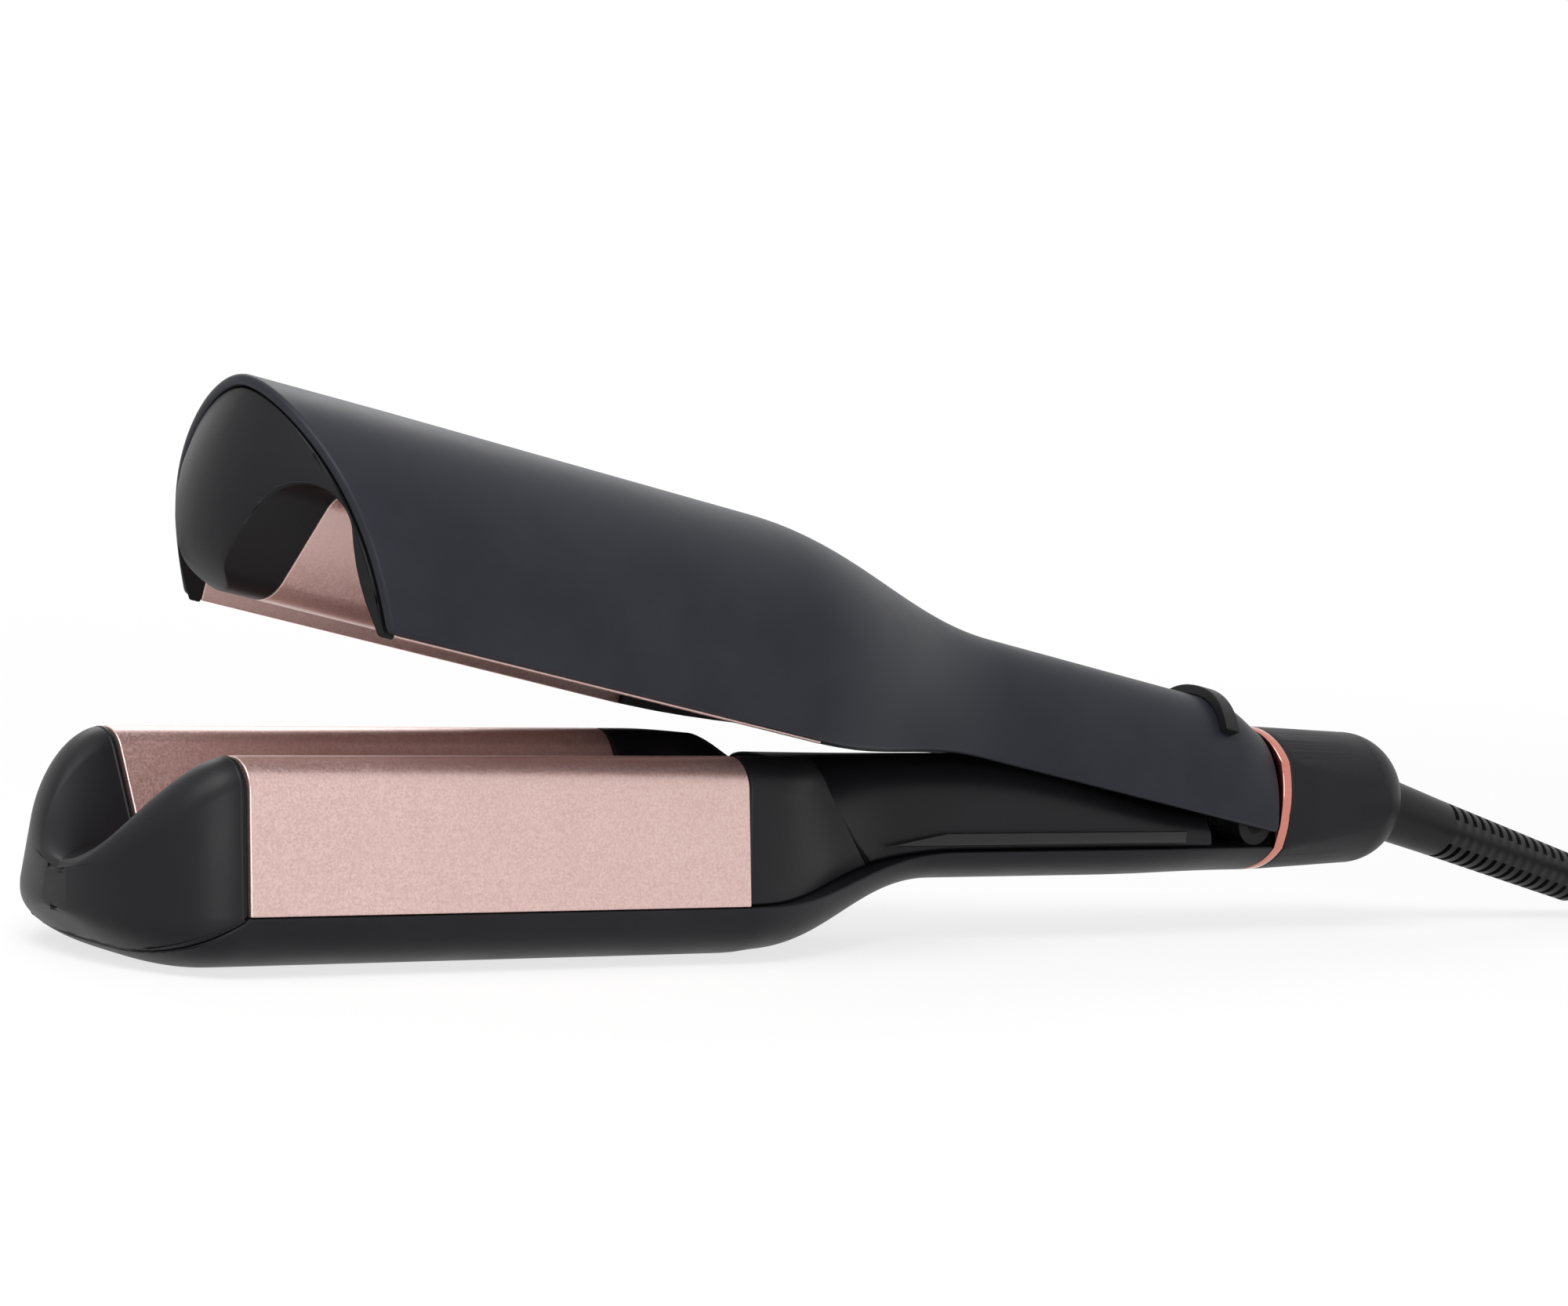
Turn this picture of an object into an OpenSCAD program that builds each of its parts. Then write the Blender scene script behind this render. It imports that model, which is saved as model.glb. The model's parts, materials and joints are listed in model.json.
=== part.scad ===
// Deep hair waver with two hinged arms, lying open on its lower jaw.
// X runs from the tips (-X) to the cord (+X), Z is up, Y is across.
// The origin is on the flat under the lower jaw, below the middle of its plate.
// The upper arm is drawn closed and then swung open about the hinge pin.

/* [Wave plates] */
// Length of each heated plate
plate_len = 100; // [80:1:115]
// Thickness of the coated plate metal
plate_t = 1.2; // [0.8:0.1:2]
// Height of the two crests above the table
crest_top = 35; // [32:0.5:38]
// Distance between the two crests
crest_gap = 40; // [36:0.5:44]
// Radius of each crest
crest_r = 6; // [5:0.25:7]
// Radius of the valley between the crests
valley_r = 8.5; // [7.5:0.25:9.5]
// Height of the valley floor above the table
valley_floor = 15.6; // [14.5:0.1:17]
// Hair gap between the plates when the arms are shut
hair_gap = 1; // [0.6:0.1:1.6]

/* [Lower jaw] */
// Half width of the jaw at the plate's lower edge
jaw_half = 29; // [28:0.25:31]
// Height of the seam between the plate and the casing
seam_z = 10; // [9:0.25:12]
// Length of the rounded nose in front of the plate
nose_len = 21; // [16:0.5:26]
// Height of the nose's tip
nose_tip_z = 11.5; // [10:0.25:13]

/* [Upper arm] */
// Wall of the upper casing
shell_t = 2; // [1.6:0.1:2.6]
// Height of the closed upper jaw above the table
upper_top = 52; // [49:0.5:56]
// Height of the upper casing's rim when closed
upper_rim = 15.6; // [14:0.2:17]
// How far the upper plate sits behind the lower one
upper_shift = 10; // [6:0.5:12]
// How far the plate edge shows below the casing's rim
plate_lip = 0.8; // [0.4:0.1:1.4]

/* [Handle] */
// Length of the neck from the plate to the grip
neck_len = 58; // [50:1:66]
// Length of the grip from the neck to the trim ring
grip_len = 80; // [70:1:95]
// Half width of the grip
grip_half = 13.4; // [12.8:0.1:14.5]
// Height of the handle's centre line above the table
axis_z = 24.6; // [24:0.1:26]
// Height of the closed upper grip above the table
grip_top = 42; // [40:0.5:45]
// Height of the upper grip's rim when closed
grip_rim = 20.2; // [19.6:0.1:21]
// Height of the lower casing's edge along the grip
tray_edge = 16.6; // [15.5:0.1:17.5]
// Height of the lower casing's underside along the grip
tray_under = 10.6; // [9.5:0.1:11.5]
// Height of the inner grip body's top
inner_top = 33; // [31:0.5:35]

/* [Hinge] */
// Angle between the arms when they are fully open
open_angle = 10.8; // [8:0.1:14]
// Radius of the hinge pin
pin_r = 2; // [1.5:0.1:2.5]
// Radial running clearance of the pin
pin_play = 0.05; // [0.02:0.01:0.09]
// Distance of the pin in front of the trim ring
pin_back = 4.5; // [4.2:0.1:6]
// Height of the pin above the table
pin_z = 21.1; // [20.6:0.1:21.6]
// Thickness of each yoke ear
ear_t = 2.4; // [1.6:0.1:2.6]
// Wire of the opening spring
spring_wire = 1.1; // [0.8:0.1:1.4]
// Turns of the opening spring
spring_turns = 4; // [3:1:5]

/* [End cap] */
// Half width of the trim ring and end cap
cap_half = 12.4; // [12:0.1:13]
// Half height of the trim ring and end cap
cap_rise = 13.7; // [13.2:0.1:14.2]
// Width of the polished trim ring
ring_w = 2.2; // [1.5:0.1:3]
// Length of the end cap behind the ring
cap_len = 35; // [30:0.5:42]

/* [Lock slider] */
// Distance of the slider in front of the trim ring
slider_back = 17; // [15:0.5:22]
// Length of the slider along the arm
slider_l = 3.4; // [2.6:0.1:5]
// Width of the slider across the arm
slider_w = 13; // [10:0.5:15]
// How far the slider stands proud of the casing
slider_h = 2; // [1.4:0.1:2.8]
// How far the slider travels
slider_travel = 4; // [3:0.25:5]

/* [Cord] */
// Diameter of the round cord
cord_d = 6.4; // [6:0.1:7]
// Length of the moulded strain relief
relief_len = 64; // [55:1:75]
// Number of slots along the strain relief
relief_slots = 16; // [12:1:18]
// Radius of the coil at its middle turn
coil_r = 37.5; // [36:0.5:38]
// Turns in each of the coil's two layers
coil_turns = 3; // [2:1:4]

/* [Hidden] */
$fn = 48;
e = 0.01;              // overlap that makes a cut run clean through
fit = 0.2;             // gap between neighbouring pieces of one arm
clear = 0.3;           // gap between pieces that move past each other

plate_x0 = -plate_len / 2;
plate_x1 = plate_len / 2;
neck_x1 = plate_x1 + neck_len;
ring_x = neck_x1 + grip_len;
pin_x = ring_x - pin_back;
cap_x0 = ring_x + ring_w;
cap_x1 = cap_x0 + cap_len;
nose_x = plate_x0 - nose_len;

crest_y = crest_gap / 2;
crest_z = crest_top - crest_r;
valley_z = valley_floor + valley_r;

up_x0 = plate_x0 + upper_shift;     // back of the upper nose
up_front = up_x0 + 2;               // front of the upper plate
up_x1 = plate_x1 + upper_shift;     // back of the upper plate
wall_gap = hair_gap + plate_t;      // from the lower plate's face to the upper carrier

// ---------- helpers ----------
function mix(a, b, t) = a + (b - a) * t;
function clamp01(t) = max(0, min(1, t));
function ease(a, b, x) = let(t = clamp01((x - a) / (b - a))) t * t * (3 - 2 * t);
function spow(v, p) = sign(v) * pow(abs(v), p);
function arc_pts(c, r, a0, a1, n) = [for (i = [0:n]) let(a = mix(a0, a1, i / n))
    [c[0] + r * cos(a), c[1] + r * sin(a)]];
function flip(pts) = [for (i = [len(pts) - 1:-1:0]) [-pts[i][0], pts[i][1]]];
function at_x(x, pts) = [for (p = pts) [x, p[0], p[1]]];

// Joins rings of equal point count into one closed skin.
module loft(rings) {
    n = len(rings[0]);
    m = len(rings);
    pts = [for (r = rings) each r];
    sides = [for (i = [0:m - 2]) for (j = [0:n - 1])
        let(a = i * n + j, b = i * n + (j + 1) % n, c = a + n, d = b + n)
        each [[a, b, d], [a, d, c]]];
    ends = [[for (j = [n - 1:-1:0]) j], [for (j = [0:n - 1]) (m - 1) * n + j]];
    polyhedron(pts, concat(sides, ends), convexity = 6);
}

// Sweeps a round section along a path that never runs straight up. Its ends stand
// square to the two given directions, so that it meets its neighbours face to face.
module tube(path, r, sides, start, end) {
    n = len(path);
    rings = [for (i = [0:n - 1])
        let(t = i == 0 ? start : i == n - 1 ? end : path[i + 1] - path[i - 1],
            u = t / norm(t),
            s0 = cross([0, 0, 1], u),
            s = s0 / norm(s0),
            v = cross(u, s))
        [for (k = [0:sides - 1]) let(a = 360 * k / sides)
            path[i] + r * (cos(a) * s - sin(a) * v)]];
    loft(rings);
}

// Swings a piece drawn closed up to the open rest position.
module open_up(angle = open_angle) {
    translate([pin_x, 0, pin_z]) rotate([0, angle, 0]) translate([-pin_x, 0, -pin_z])
        children();
}

// Extrudes an outline drawn in Y and Z along X.
module along_x(x0, x1) {
    translate([x0, 0, 0]) rotate([90, 0, 90]) linear_extrude(x1 - x0) children();
}

// Extrudes an outline drawn in X and Z across the object.
module across(outline, half) {
    translate([0, half, 0]) rotate([90, 0, 0]) linear_extrude(2 * half) polygon(outline);
}

// ---------- the wave section ----------
// Direction from a crest's centre to where the crest meets the valley wall.
function inner_dir(cy, cz, cr, vz, vr) = let(d = norm([cy, cz - vz]))
    180 + atan2(cz - vz, cy) - acos(min(1, (cr + vr) / d));
// Direction from a crest's centre to where the crest meets the side wall.
function outer_dir(cy, cz, cr, fy, fz) = let(d = norm([fy - cy, fz - cz]))
    atan2(fz - cz, fy - cy) + acos(min(1, cr / d));
wall_dir = outer_dir(crest_y, crest_z, crest_r, jaw_half, seam_z);
// Half width, at a height, of the side wall moved out by a gap.
function foot_at(gap, z) = (crest_y * cos(wall_dir) + crest_z * sin(wall_dir) + crest_r
    + gap - z * sin(wall_dir)) / cos(wall_dir);

upper_half = foot_at(wall_gap, upper_rim) + shell_t;

// Outline of the plates' wave, moved out by a gap, down to a height. The straight
// sides end a little inside the circles, so that each meets its circle at a clear angle.
sink = 0.02;           // depth by which a straight side ends inside a circle
module wave_2d(gap, low) {
    a = inner_dir(crest_y, crest_z, crest_r, valley_z, valley_r);
    r = crest_r + gap;
    v = valley_r - gap;
    c = [crest_y, crest_z];
    t3 = c + (r - sink) * [cos(wall_dir), sin(wall_dir)];
    t1 = c + (r - sink) * [cos(a), sin(a)];
    t2 = [0, valley_z] - (v - sink) * [cos(a), sin(a)];
    side = [[foot_at(gap, low), low], t3, t1, t2];
    difference() {
        union() {
            polygon(concat(side, flip(side)));
            for (s = [-1, 1]) translate([s * crest_y, crest_z]) circle(r, $fn = 64);
        }
        translate([0, valley_z]) circle(v, $fn = 64);
    }
}

// Half of a wave section as points, from the valley's middle to the foot.
function wave_half(cy, top, cr, floor, vr, fy, fz) =
    let(cz = top - cr, vz = floor + vr,
        a = inner_dir(cy, cz, cr, vz, vr), b = outer_dir(cy, cz, cr, fy, fz))
    concat(arc_pts([0, vz], vr, -90, a - 180, 5), arc_pts([cy, cz], cr, mix(a, b, 1 / 8), b, 7),
           [[fy, fz]]);
// The same section closed below by a rounded belly.
function belly(w, z1, z0, n, m) = [for (i = [1:m - 1]) let(t = 180 * i / m)
    [w * spow(cos(t), 2 / n), z1 - (z1 - z0) * spow(sin(t), 2 / n)]];
function wave_ring(cy, top, cr, floor, vr, fy, fz, low, n) =
    let(h = wave_half(cy, top, cr, floor, vr, fy, fz))
    concat(h, belly(fy, fz, low, n, 16), flip([for (i = [1:len(h) - 1]) h[i]]));

// ---------- lower arm ----------
jaw_square = 3;        // how square the jaw's belly is
nose_steps = [0, 0.12, 0.25, 0.4, 0.55, 0.7, 0.82, 0.91, 0.97];
function nose_k(s) = sqrt(1 - pow(s, 1.8));
function nose_low(s) = (nose_tip_z - 3) * pow(s, 2.6);
function nose_top(s) = mix(crest_top, nose_tip_z + 3, pow(s, 1.7));

// Half width, edge height and underside of the lower casing along the arm.
function tray_w(x) = mix(jaw_half, tray_half, ease(plate_x1, neck_x1 - 4, x));
function tray_z(x) = mix(seam_z, tray_edge, ease(plate_x1 + 6, neck_x1 + 2, x));
function tray_low(x) = mix(0, tray_under, ease(plate_x1 + 8, neck_x1, x));
function tray_n(x) = mix(jaw_square, 2.2, ease(plate_x1, neck_x1, x));
tray_half = grip_half - 0.9;
flat_cut = 0.4;        // depth of the flat that the jaw rests on
cap_seam = [[plate_x0, seam_z], [plate_x0 - 14, seam_z - 8]];
seam_slope = (cap_seam[0][1] - cap_seam[1][1]) / (cap_seam[0][0] - cap_seam[1][0]);

// Everything under the slanting seam between the nose cap and the casing.
module under_seam(drop) {
    far = 60;
    across([[plate_x0 + far, seam_z + far * seam_slope - drop],
            [plate_x0 - far, seam_z - far * seam_slope - drop],
            [plate_x0 - far, -far], [plate_x0 + far, -far]], far);
}

function tray_ring(x, w, z1, z0, n) =
    at_x(x, concat([[w, z1]], belly(w, z1, z0, n, 24), [[-w, z1]]));

neck_xs = [for (k = [0:18]) plate_x1 + k * neck_len / 18];
module lower_casing() {
    nose = [for (i = [len(nose_steps) - 1:-1:1]) let(s = nose_steps[i])
        tray_ring(plate_x0 - nose_len * s, jaw_half * nose_k(s), seam_z,
                  nose_low(s) - flat_cut, jaw_square)];
    body = [for (x = [plate_x0, each neck_xs, ring_x - 40, ring_x - fit])
        tray_ring(x, tray_w(x), tray_z(x), tray_low(x) - (x < plate_x1 + 8 ? flat_cut : 0),
                  tray_n(x))];
    color("#26262a") difference() {
        loft(concat(nose, body));
        translate([nose_x - 5, -50, -10]) cube([ring_x + 80, 100, 10]);
        difference() {
            translate([nose_x - 5, -50, -5]) cube([nose_len + 5, 100, 40]);
            under_seam(0);
        }
        tray_pocket();
    }
}

// Hollow of the casing behind the neck, for the hinge and the wires.
module tray_pocket() {
    translate([grip_x1 + fit, -tray_half + 2.6, tray_under + 2.6])
        cube([ring_x - grip_x1 + 1, 2 * tray_half - 5.2, 20]);
}

module lower_tip_cap() {
    rings = [for (i = [len(nose_steps) - 1:-1:0]) let(s = nose_steps[i], k = nose_k(s),
                top = nose_top(s))
        at_x(plate_x0 - nose_len * s - (i == 0 ? fit : 0),
             wave_ring(crest_y * k, top, crest_r * k, min(valley_floor, top - 0.6),
                       valley_r * k, jaw_half * k, seam_z, nose_low(s) - flat_cut,
                       jaw_square))];
    color("#232326") difference() {
        loft(rings);
        under_seam(-fit);
    }
}

module lower_plate() {
    color("#dcb8ae") difference() {
        along_x(plate_x0, plate_x1) wave_2d(0, seam_z + fit);
        along_x(plate_x0 - 1, plate_x1 + 1) wave_2d(-plate_t, seam_z - 1);
    }
}

heater_w = 10;         // heater bar across the jaw
heater_h = 2.4;        // heater bar height
module lower_carrier() {
    color("silver") difference() {
        along_x(plate_x0 + fit, plate_x1 - fit) wave_2d(-plate_t, seam_z + fit);
        for (s = [-1, 1]) heater_bar(s, 0);
    }
}

module heater_bar(side, inset) {
    translate([plate_x0 + 12 + inset, side * crest_y - heater_w / 2 + inset, seam_z + 3 + inset])
        cube([plate_len - 24 - 2 * inset, heater_w - 2 * inset, heater_h - 2 * inset]);
}

module lower_heater() {
    color("white") for (s = [-1, 1]) heater_bar(s, 0.05);
}

// Neck frame behind the lower plate: the wave closes up and flows into the grip.
grip_x0 = plate_x1 + 18;
grip_x1 = ring_x - 42;
neck_cut = [[grip_x0, inner_top + 2], [grip_x0 + 17, tray_edge + 1]];
function neck_half(x) = mix(jaw_half - 0.8, tray_half - 1.2, ease(plate_x1 - 1, neck_x1 - 13, x));
// How far the crests have drawn together. They wait for the upper plate's rear edge.
function neck_turn(x) = ease(up_x1 - 3, neck_x1 - 18, x);
// Half of the neck's wave, moved out by a gap, down to a height.
function neck_wave(x, g, z) =
    let(t = neck_turn(x), u = ease(up_x1, up_x1 + 18, x),
        cy = mix(crest_y, 4.6, t), cr = mix(crest_r, 5, t) + g,
        top = mix(crest_top, inner_top, ease(plate_x1 + 4, neck_x1, x)) + g,
        vr = max(2, mix(valley_r, 4, u) - g),
        floor = mix(valley_floor, top - 1.2, u) + g * (1 - u))
    wave_half(cy, top, cr, floor, vr, neck_half(x) + g, z);
function neck_ring(x) = let(z = tray_z(x) + fit, h = neck_wave(x, 0, z))
    at_x(x, concat(h, flip([for (i = [1:len(h) - 1]) h[i]])));

module neck_front() {
    far = 80;
    slope = (neck_cut[1][0] - neck_cut[0][0]) / (neck_cut[1][1] - neck_cut[0][1]);
    across([[neck_cut[0][0] + slope * far, neck_cut[0][1] + far],
            [neck_cut[0][0] - slope * far, neck_cut[0][1] - far],
            [neck_cut[0][0] - far * 2, neck_cut[0][1] - far],
            [neck_cut[0][0] - far * 2, neck_cut[0][1] + far]], 60);
}

module lower_neck() {
    xs = [plate_x1 + fit, for (k = [1:12]) neck_xs[k]];
    color("#202024") intersection() {
        loft([for (x = xs) neck_ring(x)]);
        neck_front();
    }
}

// Rounded inner body of the lower grip, which the upper arm closes over.
function grip_ring(x) =
    let(w = neck_half(x) - 0.1, top = mix(inner_top, inner_top - 5, ease(grip_x1 - 50, grip_x1, x)),
        z = tray_z(x) + fit)
    at_x(x, arch(w, top, z, 2.5, 20));

module grip_body() {
    xs = [for (x = neck_xs) if (x >= grip_x0) x, grip_x0 + 60, grip_x1];
    color("#242428") difference() {
        loft([for (x = xs) grip_ring(x)]);
        translate([fit, 0, 0]) neck_front();
        board_space(0);
    }
}

board_l = 52;
board_w = 13;
module board_space(inset) {
    translate([grip_x1 - board_l + inset, -board_w / 2 + inset, tray_edge + 4 + inset])
        cube([board_l + 1, board_w - 2 * inset, 5 - 2 * inset]);
}

module circuit_board() {
    color("darkgreen") {
        intersection() {
            board_space(0.1);
            translate([0, -50, tray_edge + 4]) cube([grip_x1 - 2, 100, 1.7]);
        }
        for (k = [0:2]) translate([grip_x1 - board_l + 6 + k * 15, -3, tray_edge + 5.6])
            cube([8, 6, 2.4]);
    }
}

strip_x0 = neck_x1 - 16;
strip_x1 = ring_x - 24;
module control_strips() {
    h = 2.2;
    z = tray_edge + 3.4;
    color("#0c0c0e") for (s = [-1, 1])
        translate([0, s * (tray_half - 1.2 + 0.3) - (s > 0 ? 0 : 0.9), 0])
            rotate([90, 0, 0]) translate([0, 0, -0.9]) linear_extrude(0.9)
                polygon([[strip_x0, z - h], [strip_x0 + 14, z], [strip_x1, z],
                         [strip_x1, z - h]]);
}

// ---------- hinge ----------
lug_in = 3.6;          // inner face of each lug
lug_out = cap_half - shell_t - 0.5 - ear_t - clear;  // outer face of each lug
lug_r = min(pin_r + 2.2, pin_back - clear);
lug_root = axis_z - sqrt(pow(cap_rise - 2.4, 2) - lug_out * lug_out) + 0.2;
module lug_foot(side, x1, z0) {
    translate([pin_x, (side * (lug_in + lug_out) - lug_out + lug_in) / 2, z0])
        cube([x1 - pin_x, lug_out - lug_in, pin_z - z0]);
}

module hinge_block() {
    color("#1c1c1e") difference() {
        union() {
            for (s = [-1, 1]) translate([pin_x, s * (lug_in + lug_out) / 2, pin_z])
                rotate([90, 0, 0]) cylinder(lug_out - lug_in, r = lug_r, center = true);
            for (s = [-1, 1]) lug_foot(s, ring_x - fit, tray_under + 2.8);
            for (s = [-1, 1]) lug_foot(s, ring_x + 1, lug_root);
            translate([0, 0, axis_z]) along_x(ring_x + fit, cap_x0 - fit) oval_2d(2.4);
        }
        pin_bore(0.02);
    }
}

module pin_bore(play) {
    translate([pin_x, 0, pin_z]) rotate([90, 0, 0])
        cylinder(4 * grip_half, r = pin_r + play, center = true);
}

// Oval section of the trim ring and end cap: a circle with two gently curved flanks.
flank_r = 24;
module oval_2d(shrink) {
    intersection() {
        circle(cap_rise - shrink, $fn = 96);
        translate([flank_r - cap_half, 0]) circle(flank_r - shrink, $fn = 96);
        translate([cap_half - flank_r, 0]) circle(flank_r - shrink, $fn = 96);
    }
}

module hinge_pin() {
    color("silver") translate([pin_x, 0, pin_z]) rotate([90, 0, 0])
        cylinder(2 * (lug_out + clear + ear_t), r = pin_r, center = true);
}

spring_r = pin_r + 0.15 + spring_wire / 2;
module opening_spring() {
    span = 2 * lug_in - spring_wire - 0.8;
    steps = 12 * spring_turns;
    coil = [for (i = [0:steps]) let(a = 360 * spring_turns * i / steps)
        [pin_x + spring_r * cos(a), mix(-span / 2, span / 2, i / steps),
         pin_z + spring_r * sin(a)]];
    color("gainsboro") wire(coil, spring_wire / 2, 6);
}

// Sweeps a wire round the Y axis, where the path's own plane turns.
module wire(path, r, sides) {
    n = len(path);
    loft([for (i = [0:n - 1])
        let(t = path[min(i + 1, n - 1)] - path[max(i - 1, 0)], u = t / norm(t),
            s0 = cross([0, 1, 0], u), s = s0 / norm(s0), v = cross(u, s))
        [for (k = [0:sides - 1]) let(a = 360 * k / sides)
            path[i] + r * (cos(a) * s - sin(a) * v)]]);
}

module trim_ring() {
    color("#d9a79b") translate([0, 0, axis_z]) along_x(ring_x, cap_x0) difference() {
        oval_2d(0);
        oval_2d(2.2);
    }
}

cap_round = 11;        // radius of the end cap's rear edge
relief_r = cord_d / 2 + 2.9;
module end_cap() {
    small = cap_rise - 1;
    color("#242427") difference() {
        translate([0, 0, axis_z]) intersection() {
            translate([cap_x0, 0, 0]) rotate([0, 90, 0]) rotate_extrude($fn = 96) difference() {
                polygon([[0, 0], [cap_rise, 0], [small, cap_len - cap_round],
                         [small, cap_len], [0, cap_len]]);
                translate([small - cap_round, cap_len - cap_round]) difference() {
                    square(cap_round + 1);
                    circle(cap_round, $fn = 64);
                }
            }
            along_x(cap_x0 - 1, cap_x1 + 1) oval_2d(0);
        }
        relief_root();
    }
}

// ---------- upper arm, drawn closed ----------
function arm_w(x) = mix(mix(upper_half, grip_half, ease(up_x1 - 4, neck_x1 + 8, x)), cap_half,
                        ease(ring_x - 14, ring_x, x));
function arm_top(x) = mix(mix(upper_top, grip_top, ease(up_x1 - 6, neck_x1 + 8, x)),
                          axis_z + cap_rise, ease(ring_x - 14, ring_x - 1, x));
function arm_rim(x) = mix(upper_rim, grip_rim, ease(up_x1, neck_x1 + 4, x));
function arch(w, top, rim, n, m) = [for (i = [0:m]) let(t = 180 * i / m)
    [-w * spow(cos(t), 2 / n), rim + (top - rim) * spow(sin(t), 2 / n)]];
arch_n = 2.3;          // how square the upper casing's arch is
front_top = plate_x0 - 2.3;
front_rim = up_x0 + 1.5;
front_slope = (front_top - front_rim) / (upper_top - upper_rim);
casing_xs = [front_top - 2, front_top + 6, plate_x0 + 30, plate_x1 - 20, up_x1 - 6,
             for (k = [1:11]) mix(up_x1 - 6, neck_x1 + 8, k / 11), ring_x - 14, ring_x - 10,
             ring_x - 6, ring_x - 2, ring_x + 3];

// Everything behind the casing's slanting front edge.
module behind_front(ahead) {
    far = 60;
    across([[front_rim - ahead - front_slope * far, upper_rim - far],
            [front_rim - ahead + front_slope * far, upper_rim + far],
            [ring_x + far, upper_rim + far], [ring_x + far, upper_rim - far]], 60);
}

// The arm's ends, flush with the ring both open and shut.
module before_ring() {
    translate([nose_x - 40, -60, -60]) cube([ring_x - fit - nose_x + 40, 120, 260]);
}

module upper_casing() {
    color("#3a3b40") intersection() {
        open_up() difference() {
            loft([for (x = casing_xs) at_x(x, arch(arm_w(x), arm_top(x), arm_rim(x), arch_n, 24))]);
            loft([for (x = casing_xs) at_x(x + (x < -40 ? -1 : 1) * e,
                concat(arch(arm_w(x) - shell_t, arm_top(x) - shell_t, arm_rim(x) - e, arch_n, 24),
                       [[arm_w(x) - shell_t, arm_rim(x) - 6], [-arm_w(x) + shell_t, arm_rim(x) - 6]]))]);
            difference() {
                translate([nose_x - 20, -60, 0]) cube([60, 120, 100]);
                behind_front(0);
            }
            translate([ring_x - fit, -60, 0]) cube([60, 120, 100]);
            slider_slot();
        }
        before_ring();
    }
}

// Front face of the upper nose: flush with the casing's edge, bulging at the tongue.
function face_x(y, z) = let(t = clamp01((z - upper_rim) / (upper_top - upper_rim)))
    mix(front_rim, front_top, t) - 0.3
    - 6.6 * pow(1 - t, 2.2) * (1 - pow(y / upper_half, 2));
// Its back face: upright behind the wave, then along the casing's front edge.
cap_depth = 2.5;
cap_back = up_front - fit;
function back_x(z) = mix(front_rim, front_top, (z - upper_rim) / (upper_top - upper_rim))
    + cap_depth;

module upper_tip_cap() {
    low = upper_rim - plate_lip;
    outline = arch(upper_half - shell_t - fit, upper_top - shell_t - fit, low, arch_n, 28);
    color("#242427") open_up() difference() {
        loft([for (i = [1:27]) let(o = outline[i])
            concat([for (f = [0:4]) let(z = mix(o[1], low, f / 4)) [face_x(o[0], z), o[0], z]],
                   [[cap_back, o[0], low], [cap_back, o[0], mix(low, o[1], 0.8)],
                    [back_x(o[1]), o[0], o[1]]])]);
        along_x(front_top - 20, up_front + 20) wave_2d(hair_gap, low - 20);
    }
}

module upper_plate() {
    color("#dcb8ae") open_up() along_x(up_front, up_x1) difference() {
        wave_2d(wall_gap, upper_rim - plate_lip);
        wave_2d(hair_gap, upper_rim - plate_lip - 1);
    }
}

module inner_arch(x0, x1, gap) {
    intersection() {
        loft([for (x = [x0, mix(x0, x1, 0.5), x1])
            at_x(x, arch(arm_w(x) - shell_t - gap, arm_top(x) - shell_t - gap, upper_rim, arch_n, 24))]);
        behind_front(0);
    }
}

module upper_carrier() {
    color("silver") open_up() difference() {
        inner_arch(front_rim - 16, up_x1 - 6, fit);
        along_x(up_x0 - 20, up_x1 + 20) wave_2d(wall_gap, upper_rim - 20);
        for (s = [-1, 1]) upper_bar(s, 0);
        translate([nose_x, -60, 0]) cube([up_x0 + 6 - nose_x, 120, 100]);
        for (s = [-1, 1]) translate([up_x0 - 20, s * (crest_y + 3.5 + 30) - 30, 0])
            cube([plate_len + 40, 60, 100]);
    }
}

module upper_bar(side, inset) {
    translate([up_x0 + 14 + inset, side * 9 - 4 + inset, crest_top + wall_gap + 2 + inset])
        cube([plate_len - 34 - 2 * inset, 8 - 2 * inset, heater_h - 2 * inset]);
}

module upper_heater() {
    color("white") open_up() for (s = [-1, 1]) upper_bar(s, 0.05);
}

// Black frame behind the upper plate, hollowed so that it clears the lower neck.
upper_neck_x1 = neck_x1 - 8;
neck_clear = 1.4;      // space between the two necks when the arms are shut
function neck_hollow(x) =
    let(t = neck_turn(x), cy = mix(crest_y, 4.6, t), w = neck_half(x) + 2,
        cr = mix(crest_r, 5, t) + neck_clear, top = crest_top + neck_clear,
        low = arm_rim(x) - 9, h = [[w, low], [cy + cr, top - cr],
                                   [cy + 0.76 * cr, top - 0.24 * cr], [cy + 0.35 * cr, top]])
    concat([for (p = [3:-1:0]) h[p]], flip([for (p = [3:-1:0]) h[p]]));

module upper_neck() {
    step = (upper_neck_x1 - up_x1) / 8;
    color("#202024") open_up() difference() {
        loft([for (k = [0:8]) let(x = up_x1 + k * step + (k == 0 ? fit : 0))
            at_x(x, arch(arm_w(x) - shell_t - fit, arm_top(x) - shell_t - fit,
                         arm_rim(x) - 0.4, arch_n, 24))]);
        loft([for (k = [-0.5, 2, 4, 6, 8.5]) let(x = up_x1 + k * step) at_x(x, neck_hollow(x))]);
    }
}

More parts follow.
